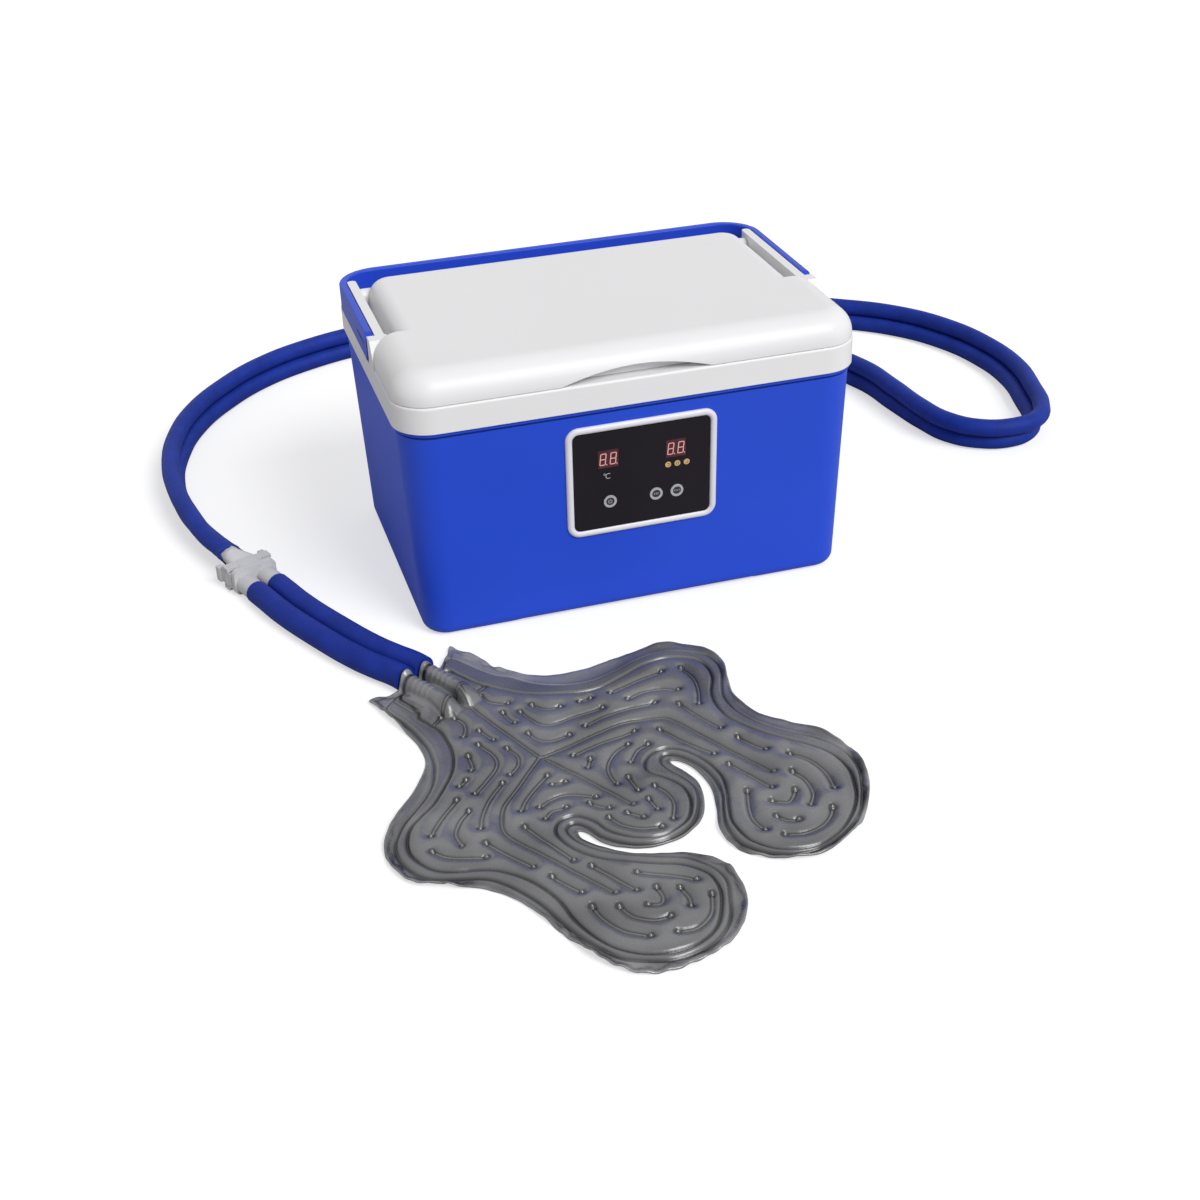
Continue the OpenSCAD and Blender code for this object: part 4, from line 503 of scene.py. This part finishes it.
# The short welds with a dome at each end
WELDS = [
    [(-19.6, 70), (-19.2, 79), (-23.3, 86), (-30.8, 92)], [(-17.9, 93.6), (-19.3, 110)],
    [(-29.7, 105.7), (-31.4, 123), (-38, 133), (-52, 139.3), (-68.6, 145)],
    [(-42.9, 110), (-48, 120), (-53, 124.3)], [(-62, 129.3), (-70, 131.4)],
    [(-19.3, 123), (-21.4, 135.7), (-28, 143), (-38.6, 146.4)],
    [(-80.7, 140.7), (-98, 147), (-108, 151.4), (-117, 157)],
    [(-48, 149.3), (-65, 155.7), (-79.3, 164.3), (-90.7, 174.3)],
    [(-83, 155), (-96.4, 160), (-105, 167), (-110, 178.6)],
    [(-126.4, 168.6), (-123.6, 178.6), (-116.4, 188.6), (-107, 198)],
    [(-23, 165.7), (-36.4, 169.3), (-50.7, 174.3), (-61.4, 180.7)], [(-28, 175), (-20, 180)],
    [(-50.7, 186.4), (-38, 186.4), (-28, 191.4), (-18, 205.7)],
    [(-56.4, 198), (-48, 195.7), (-38.6, 199.3)], [(-98, 187), (-97, 205.7), (-94.3, 226.4)],
    [(-70.7, 193.6), (-72, 215.7), (-73, 240)], [(-93, 240.7), (-93, 254.3), (-91.4, 265)],
    [(-69.6, 251.4), (-68.6, 270), (-68, 288)],
    [(-96.4, 278), (-100, 291.4), (-99.3, 307), (-92, 321.4)],
    [(-85.7, 290), (-86.4, 303), (-80.7, 313), (-71.4, 318.6)],
    [(-73, 301.4), (-67, 306.4), (-61.4, 303), (-58, 294.3)],
    [(-55.7, 276.4), (-46.4, 290), (-36.4, 308)], [(-48.6, 305), (-52, 315.7), (-57, 321.4)],
    [(-79.3, 330.7), (-68, 337), (-53.6, 334.3), (-40, 323)],
    [(-25.7, 207), (-24.3, 213), (-20.7, 220)],
    [(-28, 226.4), (-28, 238.6), (-22, 250), (-12, 258)], [(-17, 232), (-13, 243)],
    [(11.7, 63.3), (10, 71.7), (12.5, 78.3), (18, 85)], [(7.9, 90), (5, 98.6), (4.3, 106.4)],
    [(16.4, 98.6), (15, 111.4), (15.7, 121.4), (22, 127), (38, 132), (58, 138.6)],
    [(27.6, 98.6), (30.7, 110), (39.3, 115.7)], [(52, 121.4), (60.7, 124.3)],
    [(2, 121.4), (1.4, 131.4), (6.4, 140), (19.3, 144.3)], [(74.3, 130), (95, 133), (118.6, 138.6)],
    [(33.6, 145), (52, 147), (69.3, 153), (86.4, 162)],
    [(77, 144.3), (92, 147), (102, 153), (109.3, 163)],
    [(131.4, 145.7), (128, 160), (119.3, 173), (105.7, 185.7)],
    [(3.6, 163), (23.6, 166.4), (40.7, 171.4), (52, 174.3)], [(9.3, 173.6), (0.7, 180)],
    [(38, 181.4), (23.6, 182), (10.7, 188.6), (3.6, 198.6), (0.7, 207)],
    [(47, 191.4), (36.4, 191.4), (23.6, 197)], [(96.4, 175), (94.3, 194.3), (93, 216.4)],
    [(64.6, 185.7), (65, 208.6), (68, 232)], [(93, 231.4), (92.6, 244.3), (94.3, 255)],
    [(65.7, 246.4), (65, 265.7), (64.6, 284.3)],
    [(101.4, 269.3), (104.3, 284.3), (100, 301.4), (90.4, 315)],
    [(87, 283), (85.7, 294.3), (78, 307), (66.4, 314.3)],
    [(53.6, 293), (59.3, 301.4), (66.4, 300), (73, 296.4)],
    [(51.4, 274.3), (38, 287), (30.7, 297), (28, 308.6)], [(43, 305), (45, 313), (50, 318)],
    [(32, 320.7), (42, 329), (55, 332.5), (66.4, 330), (74.3, 325.7)],
    [(11.4, 206.4), (8, 214.3), (5, 221.4)],
    [(15.7, 225.7), (15.7, 235.7), (10.7, 247), (-2, 258)], [(3, 232), (-1.4, 244.3)]]
# Spot welds with no line
SPOTS = [(-25.5, 63.5), (12, 54), (-7.9, 229), (-78.6, 280.5), (78, 274.5)]


def smooth_line(pts, closed=False, step=1.6):
    """A Catmull-Rom curve through the points, sampled every step millimetres."""
    p = np.array(pts, float)
    n = len(p)
    out = []
    for i in range(n if closed else n - 1):
        if closed:
            a, b, c, d = p[i - 1], p[i], p[(i + 1) % n], p[(i + 2) % n]
        else:
            b, c = p[i], p[i + 1]
            a = p[i - 1] if i else 2 * b - c
            d = p[i + 2] if i + 2 < n else 2 * c - b
        k = max(1, int(round(np.linalg.norm(c - b) / step)))
        for t in np.arange(k) / k:
            out.append((2 * b + (c - a) * t + (2 * a - 5 * b + 4 * c - d) * t * t
                        + (3 * b - a - 3 * c + d) * t ** 3) / 2)
    if not closed:
        out.append(p[-1])
    return np.array(out)


def inside(q, poly):
    """Which of the points q lie inside the closed polygon."""
    hit = np.zeros(len(q), bool)
    a, b = poly, np.roll(poly, -1, axis=0)
    for (x0, y0), (x1, y1) in zip(a, b):
        if y0 == y1:
            continue
        cross = (q[:, 1] < y0) != (q[:, 1] < y1)
        hit ^= cross & (q[:, 0] < (x1 - x0) * (q[:, 1] - y0) / (y1 - y0) + x0)
    return hit


def near(q, lines):
    """Distance from each point to the nearest of the lines, given as arrays of points."""
    dense = []
    for line in lines:
        a, b = line[:-1], line[1:]
        dense += [a + (b - a) * t for t in (0, 0.2, 0.4, 0.6, 0.8)] + [line[-1:]]
    dense = np.concatenate(dense)
    tree = KDTree(len(dense))
    for i, (x, y) in enumerate(dense):
        tree.insert((x, y, 0), i)
    tree.balance()
    return np.array([tree.find((x, y, 0))[2] for x, y in q])


def ease(x, low, high):
    """A smooth step from 0 at low to 1 at high."""
    t = np.clip((x - low) / (high - low), 0, 1)
    return t * t * (3 - 2 * t)


def bell(x, width):
    """A smooth bump round 0 that falls to 1/e at the width."""
    return np.exp(-(x / width) ** 2)


def waves(q, seed, size, count=14):
    """Smooth noise between about -1 and 1 with the given wavelength."""
    rng = np.random.default_rng(seed)
    total = np.zeros(len(q))
    for _ in range(count):
        a = rng.uniform(0, 2 * math.pi)
        k = 2 * math.pi / (size * rng.uniform(0.7, 1.5))
        total += np.sin(k * (q[:, 0] * math.cos(a) + q[:, 1] * math.sin(a)) + rng.uniform(0, 6.28))
    return total / math.sqrt(count / 2) * 0.6


rim = smooth_line(OUTLINE, closed=True, step=1.5)
outer_line, inner_line = smooth_line(OUTER, True), smooth_line(INNER, True)
weld_lines = [smooth_line(w) for w in WELDS]
seam_lines = [smooth_line(s) for s in SEAMS]
ends = np.array([w[i] for w in WELDS for i in (0, -1)] + SPOTS, float)

REACH = 6.0             # distance from a weld over which the skin rises
FULL, WELD = 7.4, 2.6   # height of the filled part and of the welds
PAD_LOW, PAD_HIGH = (-168, -8), (172, 366)


def filled_height():
    """Height of the filled pad on a fine grid: a skin that the water pushes up to FULL and
    the welds hold down, as a membrane on a soft bed."""
    cell, low, high = 0.75, np.array([-170.0, -10.0]), np.array([175.0, 368.0])
    nx, ny = ((high - low) / cell).astype(int)
    x, y = low[0] + np.arange(nx) * cell, low[1] + np.arange(ny) * cell
    gx, gy = np.meshgrid(x, y)
    held = ~inside(np.stack([gx.ravel(), gy.ravel()], 1), inner_line).reshape(ny, nx)
    for line in weld_lines + seam_lines:
        dense = np.concatenate([line[:-1] + (line[1:] - line[:-1]) * t for t in (0, 0.33, 0.67)]
                               + [line[-1:]])
        ij = np.round((dense - low) / cell).astype(int)
        for dx in (-1, 0, 1):
            for dy in (-1, 0, 1):
                held[ij[:, 1] + dy, ij[:, 0] + dx] = True
    h = np.where(held, 0.0, 0.8)
    k2 = (cell / REACH) ** 2
    for _ in range(260):
        around = np.zeros_like(h)
        around[1:-1, 1:-1] = h[:-2, 1:-1] + h[2:, 1:-1] + h[1:-1, :-2] + h[1:-1, 2:]
        h = np.where(held, 0.0, (around + k2) / (4 + k2))
    return h, low, cell


grid_h, grid_low, grid_cell = filled_height()


def sample(q):
    """The membrane's height at points q, between the grid's cells."""
    p = (q - grid_low) / grid_cell
    i = np.clip(np.floor(p).astype(int), 0, [grid_h.shape[1] - 2, grid_h.shape[0] - 2])
    f = p - i
    a, b = grid_h[i[:, 1], i[:, 0]], grid_h[i[:, 1], i[:, 0] + 1]
    c, d = grid_h[i[:, 1] + 1, i[:, 0]], grid_h[i[:, 1] + 1, i[:, 0] + 1]
    near_row, far_row = a * (1 - f[:, 0]) + b * f[:, 0], c * (1 - f[:, 0]) + d * f[:, 0]
    return near_row * (1 - f[:, 1]) + far_row * f[:, 1]


BARBS = (-15.6, 2.6)             # where the two barbs lie across the neck
BARB_RINGS = (23, 28, 33, 38, 43)
TUBE_FADE, TUBE_END = 58, 76     # where a half tube begins to run out, and its end
TUBE_HIGH = 14.4
NECK_LINES = (-34.5, -32, -29.5, -27, -8.2, -6.5, -4.8, 13.5, 16.5, 19.5)


def neck_tube(q, middle):
    """The sheet over one barb: a half tube that runs out into the filled part."""
    wide = 7.0 + 1.6 * ease(q[:, 1], 46, 60)
    side = np.abs(q[:, 0] - middle) / wide
    round_top = np.clip(1 - side ** 2.4, 0, 1) ** 0.5
    skirt = 0.22 * np.exp(-np.clip(side - 0.8, 0, 9) * 2.2)
    end = 1 - ease(q[:, 1], TUBE_FADE, TUBE_END)
    return TUBE_HIGH * np.maximum(round_top, skirt) * end * ease(q[:, 1], 13.8, 15.8)


def pad_height(q):
    """For points q in the pad's frame: the lift of the bottom sheet, the height of the top sheet
    and its painted light, from 0 at a painted highlight through 0.5 to 1 in painted shade."""
    to_rim, to_outer, to_inner = near(q, [rim_loop]), near(q, [outer_loop]), near(q, [inner_loop])
    in_outer, in_inner = inside(q, outer_line), inside(q, inner_line)
    to_weld, to_seam = near(q, weld_lines), near(q, seam_lines)
    to_end = np.sqrt(((q[:, None, :] - ends) ** 2).sum(2).min(1))
    # the flange outside the outer weld curls up in slow waves, most at the lobes' ends
    edge = np.where(in_outer, 0, to_outer / np.maximum(to_outer + to_rim, 1e-6))
    far = ease(q[:, 1], 255, 335) + 0.8 * ease(-q[:, 0], 95, 140) + 0.5 * ease(q[:, 0], 120, 150)
    far += 1.1 * ease(-q[:, 1], -80, -30)
    curl = (1.2 + 1.3 * waves(q, 3, 46)) * (0.55 + 0.9 * far) + 0.35 * waves(q, 8, 13) * (0.4 + far)
    lift = edge ** 1.6 * np.clip(curl, 0, 5.0)
    crimp, at_lobes = waves(q, 21, 13), ease(far, 0.35, 0.8)
    lift += 0.8 * edge * at_lobes * bell(to_rim - 1.0, 1.8) * np.clip(1 + crimp, 0, 2)
    between = in_outer & ~in_inner
    tube = np.where(between, to_outer / np.maximum(to_outer + to_inner, 1e-6), 0)
    flange = 0.55 + 0.75 * (1 - np.exp(-to_rim / 0.7))
    body = WELD + (FULL - WELD) * sample(q)
    top = np.where(in_inner, body, np.where(in_outer, WELD + 3.0 * tube * (1 - tube) * 1.25, 0))
    ramp = np.exp(-to_outer / 2.2)
    top = np.where(in_outer, top, flange + (WELD - flange) * ramp)
    # weld lines: a raised bead in a narrow groove, and a plain groove round the pad
    for d, deep in ((to_weld, 1.0), (to_seam, 1.1)):
        top = top - deep * bell(d, 1.7) + deep * 1.25 * bell(d, 0.62)
    for d in (to_outer, to_inner):
        top = top - 1.1 * bell(d, 1.0) + 0.35 * bell(d - 2.4, 1.0)
    # their ends: small domes
    top += 1.9 * bell(to_end, 1.2) - 0.6 * bell(to_end - 2.4, 0.7)
    # a fine line in the flange along the rim
    top -= 0.25 * bell(to_rim - 1.6, 0.5) * ~in_outer
    # loose cloth: faint puckers
    loose = np.where(in_inner, 1.0, 0.35)
    top += loose * (0.20 * waves(q, 5, 24) + 0.05 * waves(q, 6, 11))
    # neck: two half tubes over the barbs, ribs pressed through, lines welded beside them
    along = ease(q[:, 1], 19, 22) * (1 - ease(q[:, 1], 46, 49))
    # the ribs' painted highlight, gathered over both barbs for the painted light below
    rib_painted_highlight = 0
    for middle in BARBS:
        shape = neck_tube(q, middle)
        ribs = sum(bell(q[:, 1] - v, 0.7) for v in BARB_RINGS)
        ribs = ribs * np.where(np.abs(q[:, 0] - middle) < 6.2, 1, 0)
        rib_painted_highlight = rib_painted_highlight + ribs
        shape += 0.8 * ribs
        shape += 0.9 * waves(q, 15, 13) * ease(q[:, 1], 44, 50) * (1 - ease(q[:, 1], 62, 72)) \
            * np.where(shape > 2, 1, 0)
        soft, apart = 1.2, np.abs(shape - top)
        top = np.maximum(top, shape) + np.clip(soft - apart, 0, None) ** 2 / (4 * soft)
    lines = sum(bell(q[:, 0] - u, 0.55) for u in NECK_LINES)
    flat = np.maximum(neck_tube(q, BARBS[0]), neck_tube(q, BARBS[1])) < 4
    top -= 0.6 * lines * along * flat
    top = np.maximum(top, 0.5)
    # painted light on the top sheet: painted shade in the grooves of the welds, seams and weld
    # lines, in rings round the domes and in the neck's lines
    dark = sum(deep * bell(d - 1.1, 0.5) for d, deep in ((to_weld, 0.9), (to_seam, 0.9)))
    dark += 0.95 * bell(to_outer, 0.95) + 0.95 * bell(to_inner, 0.95)
    dark += 0.9 * bell(to_end - 2.1, 0.6) + 0.5 * lines * along * flat
    # on the flange: painted shade in its rim line and the lobes' wrinkles, a painted highlight at
    # the rim, a painted reflection towards the neck, and random tone
    dark += np.where(in_outer, 0, 0.5 * bell(to_rim - 1.6, 0.7) - 0.45 * bell(to_rim, 0.8)
                     + 0.3 * waves(q, 11, 30) * (0.4 + far) - 0.35 * ease(40 - q[:, 1], -60, 20)
                     - 0.7 * ease(112 - q[:, 1], 0, 25) * ease(q[:, 0], 20, 45)
                     + 0.85 * bell(to_rim - 3.4 - 0.9 * crimp, 0.8) * at_lobes
                     - 0.5 * bell(to_rim - 1.2, 1.1) * at_lobes)
    # painted highlights on the domes, the puffs, the weld beads and the ribs, and random tone in
    # broad patches
    puffed = np.where(in_inner, ease(body, WELD + 1.2, WELD + 3.4), 0)
    dark -= 1.0 * bell(to_end, 1.1) + 0.32 * puffed + 0.18 * waves(q, 12, 60)
    dark -= 0.3 * bell(to_weld, 0.45) + 0.35 * rib_painted_highlight
    return lift, top + lift, 0.5 + 0.5 * np.clip(dark, -1, 1)


def closed_loop(line):
    """The line with its first point again at its end."""
    return np.vstack([line, line[:1]])


rim_loop, outer_loop, inner_loop = (closed_loop(x) for x in (rim, outer_line, inner_line))


def thinned(groups):
    """The points of the groups, each dropped where one before it lies within its own gap."""
    cells, kept = {}, []
    for pts, gap in groups:
        for x, y in pts:
            i, j = int(x // 1.2), int(y // 1.2)
            close = any((x - a) ** 2 + (y - b) ** 2 < gap * gap for di in (-1, 0, 1)
                        for dj in (-1, 0, 1) for a, b in cells.get((i + di, j + dj), ()))
            if not close:
                cells.setdefault((i, j), []).append((x, y))
                kept.append((x, y))
    return np.array(kept)


def beside(line, away, step):
    """Points along a line at a distance from it, on both sides."""
    along = np.gradient(line, axis=0)
    along /= np.linalg.norm(along, axis=1)[:, None]
    out = np.stack([along[:, 1], -along[:, 0]], 1)
    pick = slice(None, None, step)
    if away == 0:
        return line[pick]
    return np.vstack([(line + out * away)[pick], (line - out * away)[pick]])


def grid_points(spacing, low, high):
    """A grid of staggered rows between two corners."""
    x, y = np.arange(low[0], high[0], spacing), np.arange(low[1], high[1], spacing * 0.8660254)
    gx, gy = np.meshgrid(x, y)
    gx = gx + (np.arange(len(y)) % 2)[:, None] * spacing / 2
    return np.stack([gx.ravel(), gy.ravel()], 1)


def fill_points(spacing, keep_off):
    """A plain grid inside the rim, for the bottom sheet."""
    q = grid_points(spacing, PAD_LOW, PAD_HIGH)
    q = q[inside(q, rim)]
    return q[near(q, [rim_loop]) > keep_off]


def weld_points(quick):
    """Points that follow the welds, with a looser grid between them."""
    offsets = (0, 1.0, 2.4) if quick else (0, 0.5, 1.0, 1.5, 2.2, 3.1)
    lines = [smooth_line(OUTER, True, 1.0), smooth_line(INNER, True, 1.0)]
    lines += [smooth_line(w, False, 1.0) for w in WELDS + SEAMS]
    rings = [ends]
    for r in ((1.2, 2.3) if quick else (0.6, 1.2, 1.75, 2.3, 3.0)):
        n = max(6, int(2 * math.pi * r / 0.8))
        rings += [ends + (r * math.cos(2 * math.pi * k / n), r * math.sin(2 * math.pi * k / n))
                  for k in range(n)]
    groups = [(np.vstack(rings), 0.34)]
    for away in offsets:
        groups.append((np.vstack([beside(x, away, 2 if quick else 1) for x in lines]),
                       0.34 if away < 2 else 0.6))
    groups.append((grid_points(0.9, (-48, 12), (46, 72)), 0.62))
    groups.append((grid_points(1.9 if quick else 1.35, PAD_LOW, PAD_HIGH), 1.0))
    q = thinned(groups)
    q = q[inside(q, rim)]
    return q[near(q, [rim_loop]) > 0.55]


def triangulate(border, inner):
    """The points with the border first, and the triangles between them."""
    pts = np.vstack([border, inner])
    n = len(border)
    verts, _, faces, origins, _, _ = delaunay_2d_cdt(
        [Vector(p) for p in pts], [(i, (i + 1) % n) for i in range(n)],
        [list(range(n))], 1, 1e-7)
    back_to = [o[0] for o in origins]
    return pts, [[back_to[i] for i in f] for f in faces]


def make_pad():
    """Top sheet, bottom sheet and the edge between them as one mesh."""
    n = len(rim)
    top_q, top_f = triangulate(rim, weld_points(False))
    low_q, low_f = triangulate(rim, fill_points(5.0, 2.6))
    lift, height, dark = pad_height(top_q)
    low_lift = pad_height(low_q)[0]
    points, painted_light = [], []
    for (u, v), z, d in zip(top_q, height, dark):
        points.append((*pad_point(u, v), z + 0.2))
        painted_light.append(d)
    base = len(points)
    for (u, v), z in zip(low_q, low_lift):
        points.append((*pad_point(u, v), z + 0.15))
        painted_light.append(0.5)
    faces = list(top_f)
    faces += [[base + i for i in reversed(f)] for f in low_f]
    faces += [(i, base + i, base + (i + 1) % n, (i + 1) % n) for i in range(n)]
    obj = mesh_piece("knee_pad", points, faces, pad_fabric)
    # the attribute of painted light: the top sheet's painted highlights and painted shade, neutral
    # on the bottom sheet
    mark = obj.data.attributes.new("painted_light", "FLOAT", "POINT")
    mark.data.foreach_set("value", np.array(painted_light, dtype=np.float32))
    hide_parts("therapy_pad")


make_pad()


# ---- Shell: a dark strip below the ledge, the ledge's painted shadow ----
def ledge_shadow_strip():
    """A closed dark strip that lies on the shell's wall: the ledge's painted shadow."""
    points, faces, turns = [], [], 64
    for z, out in ((165.7, 0.02), (165.8, 0.10), (167.0, 0.10), (167.08, 0.02)):
        r = wall_r(z) + out
        for k in range(turns):
            a = 2 * math.pi * (k + 0.5) / turns
            points.append((math.copysign(CORNER_X, math.cos(a)) + r * math.cos(a),
                           math.copysign(CORNER_Y, math.sin(a)) + r * math.sin(a), z))
    for j in range(3):
        faces += [(j * turns + k, j * turns + (k + 1) % turns, (j + 1) * turns + (k + 1) % turns,
                   (j + 1) * turns + k) for k in range(turns)]
    mesh_piece("ledge_painted_shadow", points, faces, ledge_shadow_blue, smooth=False)


ledge_shadow_strip()

# ---- Panel: digits, marks and button signs as thin plates in the panel's frame ----
LEAN = math.atan(SHELL_TAPER / COLLAR_Z)
PANEL_X, PANEL_Z = 2.6, 112.0
PANEL = (PANEL_X, -(CORNER_Y + wall_r(PANEL_Z)), PANEL_Z)
# Fronts of the displays, plate, lamps and button hollows, out from the shell
DISPLAY, PLATE, LAMP, BUTTON = 1.7, 2.0, 1.9, 2.05
DISPLAYS, DISPLAY_Y = (("temperature", -26), ("timer", 26)), 17.3
BUTTONS, BUTTON_Y = {"power": -25.3, "mode": 10.4, "time": 26.6}, -18
LAMP_MID, LAMP_STEP, LAMP_Y = 27, 7.2, 4.6


def on_panel(x, y, z):
    """A point of the panel's frame: x across, y up the leaning wall, z out of it."""
    return (PANEL[0] + x, PANEL[1] - y * math.sin(LEAN) - z * math.cos(LEAN),
            PANEL[2] + y * math.cos(LEAN) - z * math.sin(LEAN))


def plates(name, outlines, z, mat, body="housing", thick=0.12):
    """Flat plates from outlines in the panel's frame, from z outwards."""
    points, faces = [], []
    for outline in outlines:
        n, base = len(outline), len(points)
        for h in (z, z + thick):
            points += [on_panel(x, y, h) for x, y in outline]
        faces.append([base + n + i for i in range(n)])
        faces.append([base + i for i in reversed(range(n))])
        faces += [(base + i, base + (i + 1) % n, base + n + (i + 1) % n, base + n + i)
                  for i in range(n)]
    mesh_piece(name, points, faces, mat, body, smooth=False)


def bar(x0, y0, x1, y1, w, slant=0.0):
    """A six-sided segment between two points, w wide."""
    dx, dy = x1 - x0, y1 - y0
    n = math.hypot(dx, dy)
    dx, dy = dx / n, dy / n
    px, py = -dy * w / 2, dx * w / 2
    k = w / 2
    pts = [(x0, y0), (x0 + dx * k - px, y0 + dy * k - py), (x1 - dx * k - px, y1 - dy * k - py),
           (x1, y1), (x1 - dx * k + px, y1 - dy * k + py), (x0 + dx * k + px, y0 + dy * k + py)]
    return [(x + slant * y, y) for x, y in pts]


def arc(cx, cy, r, w, start, end, steps=28):
    """The quads of a ring sector between two angles in degrees, as outlines."""
    out = []
    for i in range(steps):
        a, b = (math.radians(start + (end - start) * k / steps) for k in (i, i + 1))
        ro, ri = r + w / 2, r - w / 2
        out.append([(cx + ri * math.cos(a), cy + ri * math.sin(a)),
                    (cx + ro * math.cos(a), cy + ro * math.sin(a)),
                    (cx + ro * math.cos(b), cy + ro * math.sin(b)),
                    (cx + ri * math.cos(b), cy + ri * math.sin(b))])
    return out


def disc(cx, cy, r, steps=20):
    """The outline of a disc."""
    return [(cx + r * math.cos(2 * math.pi * i / steps), cy + r * math.sin(2 * math.pi * i / steps))
            for i in range(steps)]


def digits(cx, cy):
    """Two digits of seven segments with their points, and the dark fields in them."""
    lit, field = [], []
    half_w, half_h, w, slant = 2.05, 4.5, 0.72, 0.10
    for s in (-4.15, 3.65):
        shape = []
        for y in (-half_h, 0, half_h):
            shape.append(bar(-half_w, y, half_w, y, w, slant))
        for x in (-half_w, half_w):
            shape.append(bar(x, -half_h, x, 0, w, slant))
            shape.append(bar(x, 0, x, half_h, w, slant))
        shape.append(disc(half_w + 1.15 - slant * half_h, -half_h, 0.48))
        lit += [[(cx + s + x, cy + y) for x, y in part] for part in shape]
        for y in (-half_h / 2, half_h / 2):
            box = [(-half_w + 0.7, y - 1.6), (half_w - 0.7, y - 1.6),
                   (half_w - 0.7, y + 1.6), (-half_w + 0.7, y + 1.6)]
            field.append([(cx + s + a + slant * b, cy + b) for a, b in box])
    return lit, field


for name, side in DISPLAYS:
    lit, field = digits(side, DISPLAY_Y)
    plates(name + "_digits", lit, DISPLAY + 0.02, digit_red)
    plates(name + "_fields", field, DISPLAY + 0.015, display_field,
           thick=0.05)
celsius = arc(-29.2, 5.0, 0.62, 0.34, 0, 360) + arc(-26.3, 3.4, 2.0, 0.52, 50, 310)
plates("celsius_mark", celsius, PLATE + 0.005, mark_grey, thick=0.04)
lamp_marks = []
for i, (a, b) in zip((-1, 0, 1), ((150, -120), (0, 360), (40, -150))):
    lamp_marks += arc(LAMP_MID + LAMP_STEP * i, LAMP_Y, 0.95, 0.42, a, b)
plates("lamp_marks", lamp_marks, LAMP + 0.01, amber_mark, thick=0.05)
for name, x in BUTTONS.items():
    plates(name + "_face", [disc(x, BUTTON_Y, 3.1, 40)], BUTTON + 0.01, button_face,
           name + "_key", 0.06)
x = BUTTONS["power"]
power_sign = arc(x, BUTTON_Y - 0.1, 1.35, 0.42, 125, 415) + [bar(x, -17.9, x, -16.2, 0.42)]
x = BUTTONS["mode"]
mode_sign = [bar(x + s, -18.9, x + s, -17.1, 0.45) for s in (-1.3, 0, 1.3)]
x = BUTTONS["time"]
time_sign = [bar(x + s, -18.7, x + s, -17.3, 0.4) for s in (-1.8, -0.6, 0.6, 1.8)]
for name, sign in (("power", power_sign), ("mode", mode_sign), ("time", time_sign)):
    plates(name + "_sign", sign, BUTTON + 0.08, mark_grey, name + "_key", 0.05)

# ---- Floor, backdrop and lamps ----
HALF_FLOOR, FLOOR_Z = 8, -0.0002   # metres
floor_mesh = bpy.data.meshes.new("floor")
corners = [(x * HALF_FLOOR, y * HALF_FLOOR, 0) for x, y in ((-1, -1), (1, -1), (1, 1), (-1, 1))]
floor_mesh.from_pydata(corners, [], [(0, 1, 2, 3)])
floor = bpy.data.objects.new("floor", floor_mesh)
scene.collection.objects.link(floor)
floor.location.z = FLOOR_Z
# Some of the floor's white is for the camera alone, so that it lights the part less
m = bpy.data.materials.new("floor")
new, link = empty_tree(m)
out, mix = new("ShaderNodeOutputMaterial"), new("ShaderNodeAddShader")
diffuse, extra = new("ShaderNodeBsdfDiffuse"), new("ShaderNodeEmission")
path, scale = new("ShaderNodeLightPath"), new("ShaderNodeMath")
diffuse.inputs["Color"].default_value = (0.55, 0.55, 0.55, 1)
scale.operation = "MULTIPLY"
scale.inputs[1].default_value = 0.57
link(path.outputs["Is Camera Ray"], scale.inputs[0])
link(scale.outputs["Value"], extra.inputs["Strength"])
link(diffuse.outputs[0], mix.inputs[0])
link(extra.outputs[0], mix.inputs[1])
link(mix.outputs[0], out.inputs["Surface"])
floor_mesh.materials.append(m)

# Soft grey light all round; the camera, reflections and clear plastic see it white
world = bpy.data.worlds.new("studio")
scene.world = world
new, link = empty_tree(world)
out, mix = new("ShaderNodeOutputWorld"), new("ShaderNodeMixShader")
path = new("ShaderNodeLightPath")
for i, strength in ((1, 0.44), (2, 1.0)):
    light = new("ShaderNodeBackground")
    light.inputs["Color"].default_value = (1, 1, 1, 1)
    light.inputs["Strength"].default_value = strength
    link(light.outputs[0], mix.inputs[i])
sees_white = path.outputs["Is Camera Ray"]
for ray in ("Is Glossy Ray", "Is Transmission Ray"):
    either = new("ShaderNodeMath")
    either.operation = "MAXIMUM"
    link(sees_white, either.inputs[0])
    link(path.outputs[ray], either.inputs[1])
    sees_white = either.outputs[0]
link(sees_white, mix.inputs["Fac"])
link(mix.outputs[0], out.inputs["Surface"])

sun = bpy.data.lights.new("key", "SUN")
sun.energy, sun.angle = 2.3, math.radians(30)
key = bpy.data.objects.new("key", sun)
scene.collection.objects.link(key)
key.rotation_euler = Vector((-0.42, 0.85, -0.86)).to_track_quat("-Z", "Y").to_euler()

scene.view_settings.view_transform = "Standard"
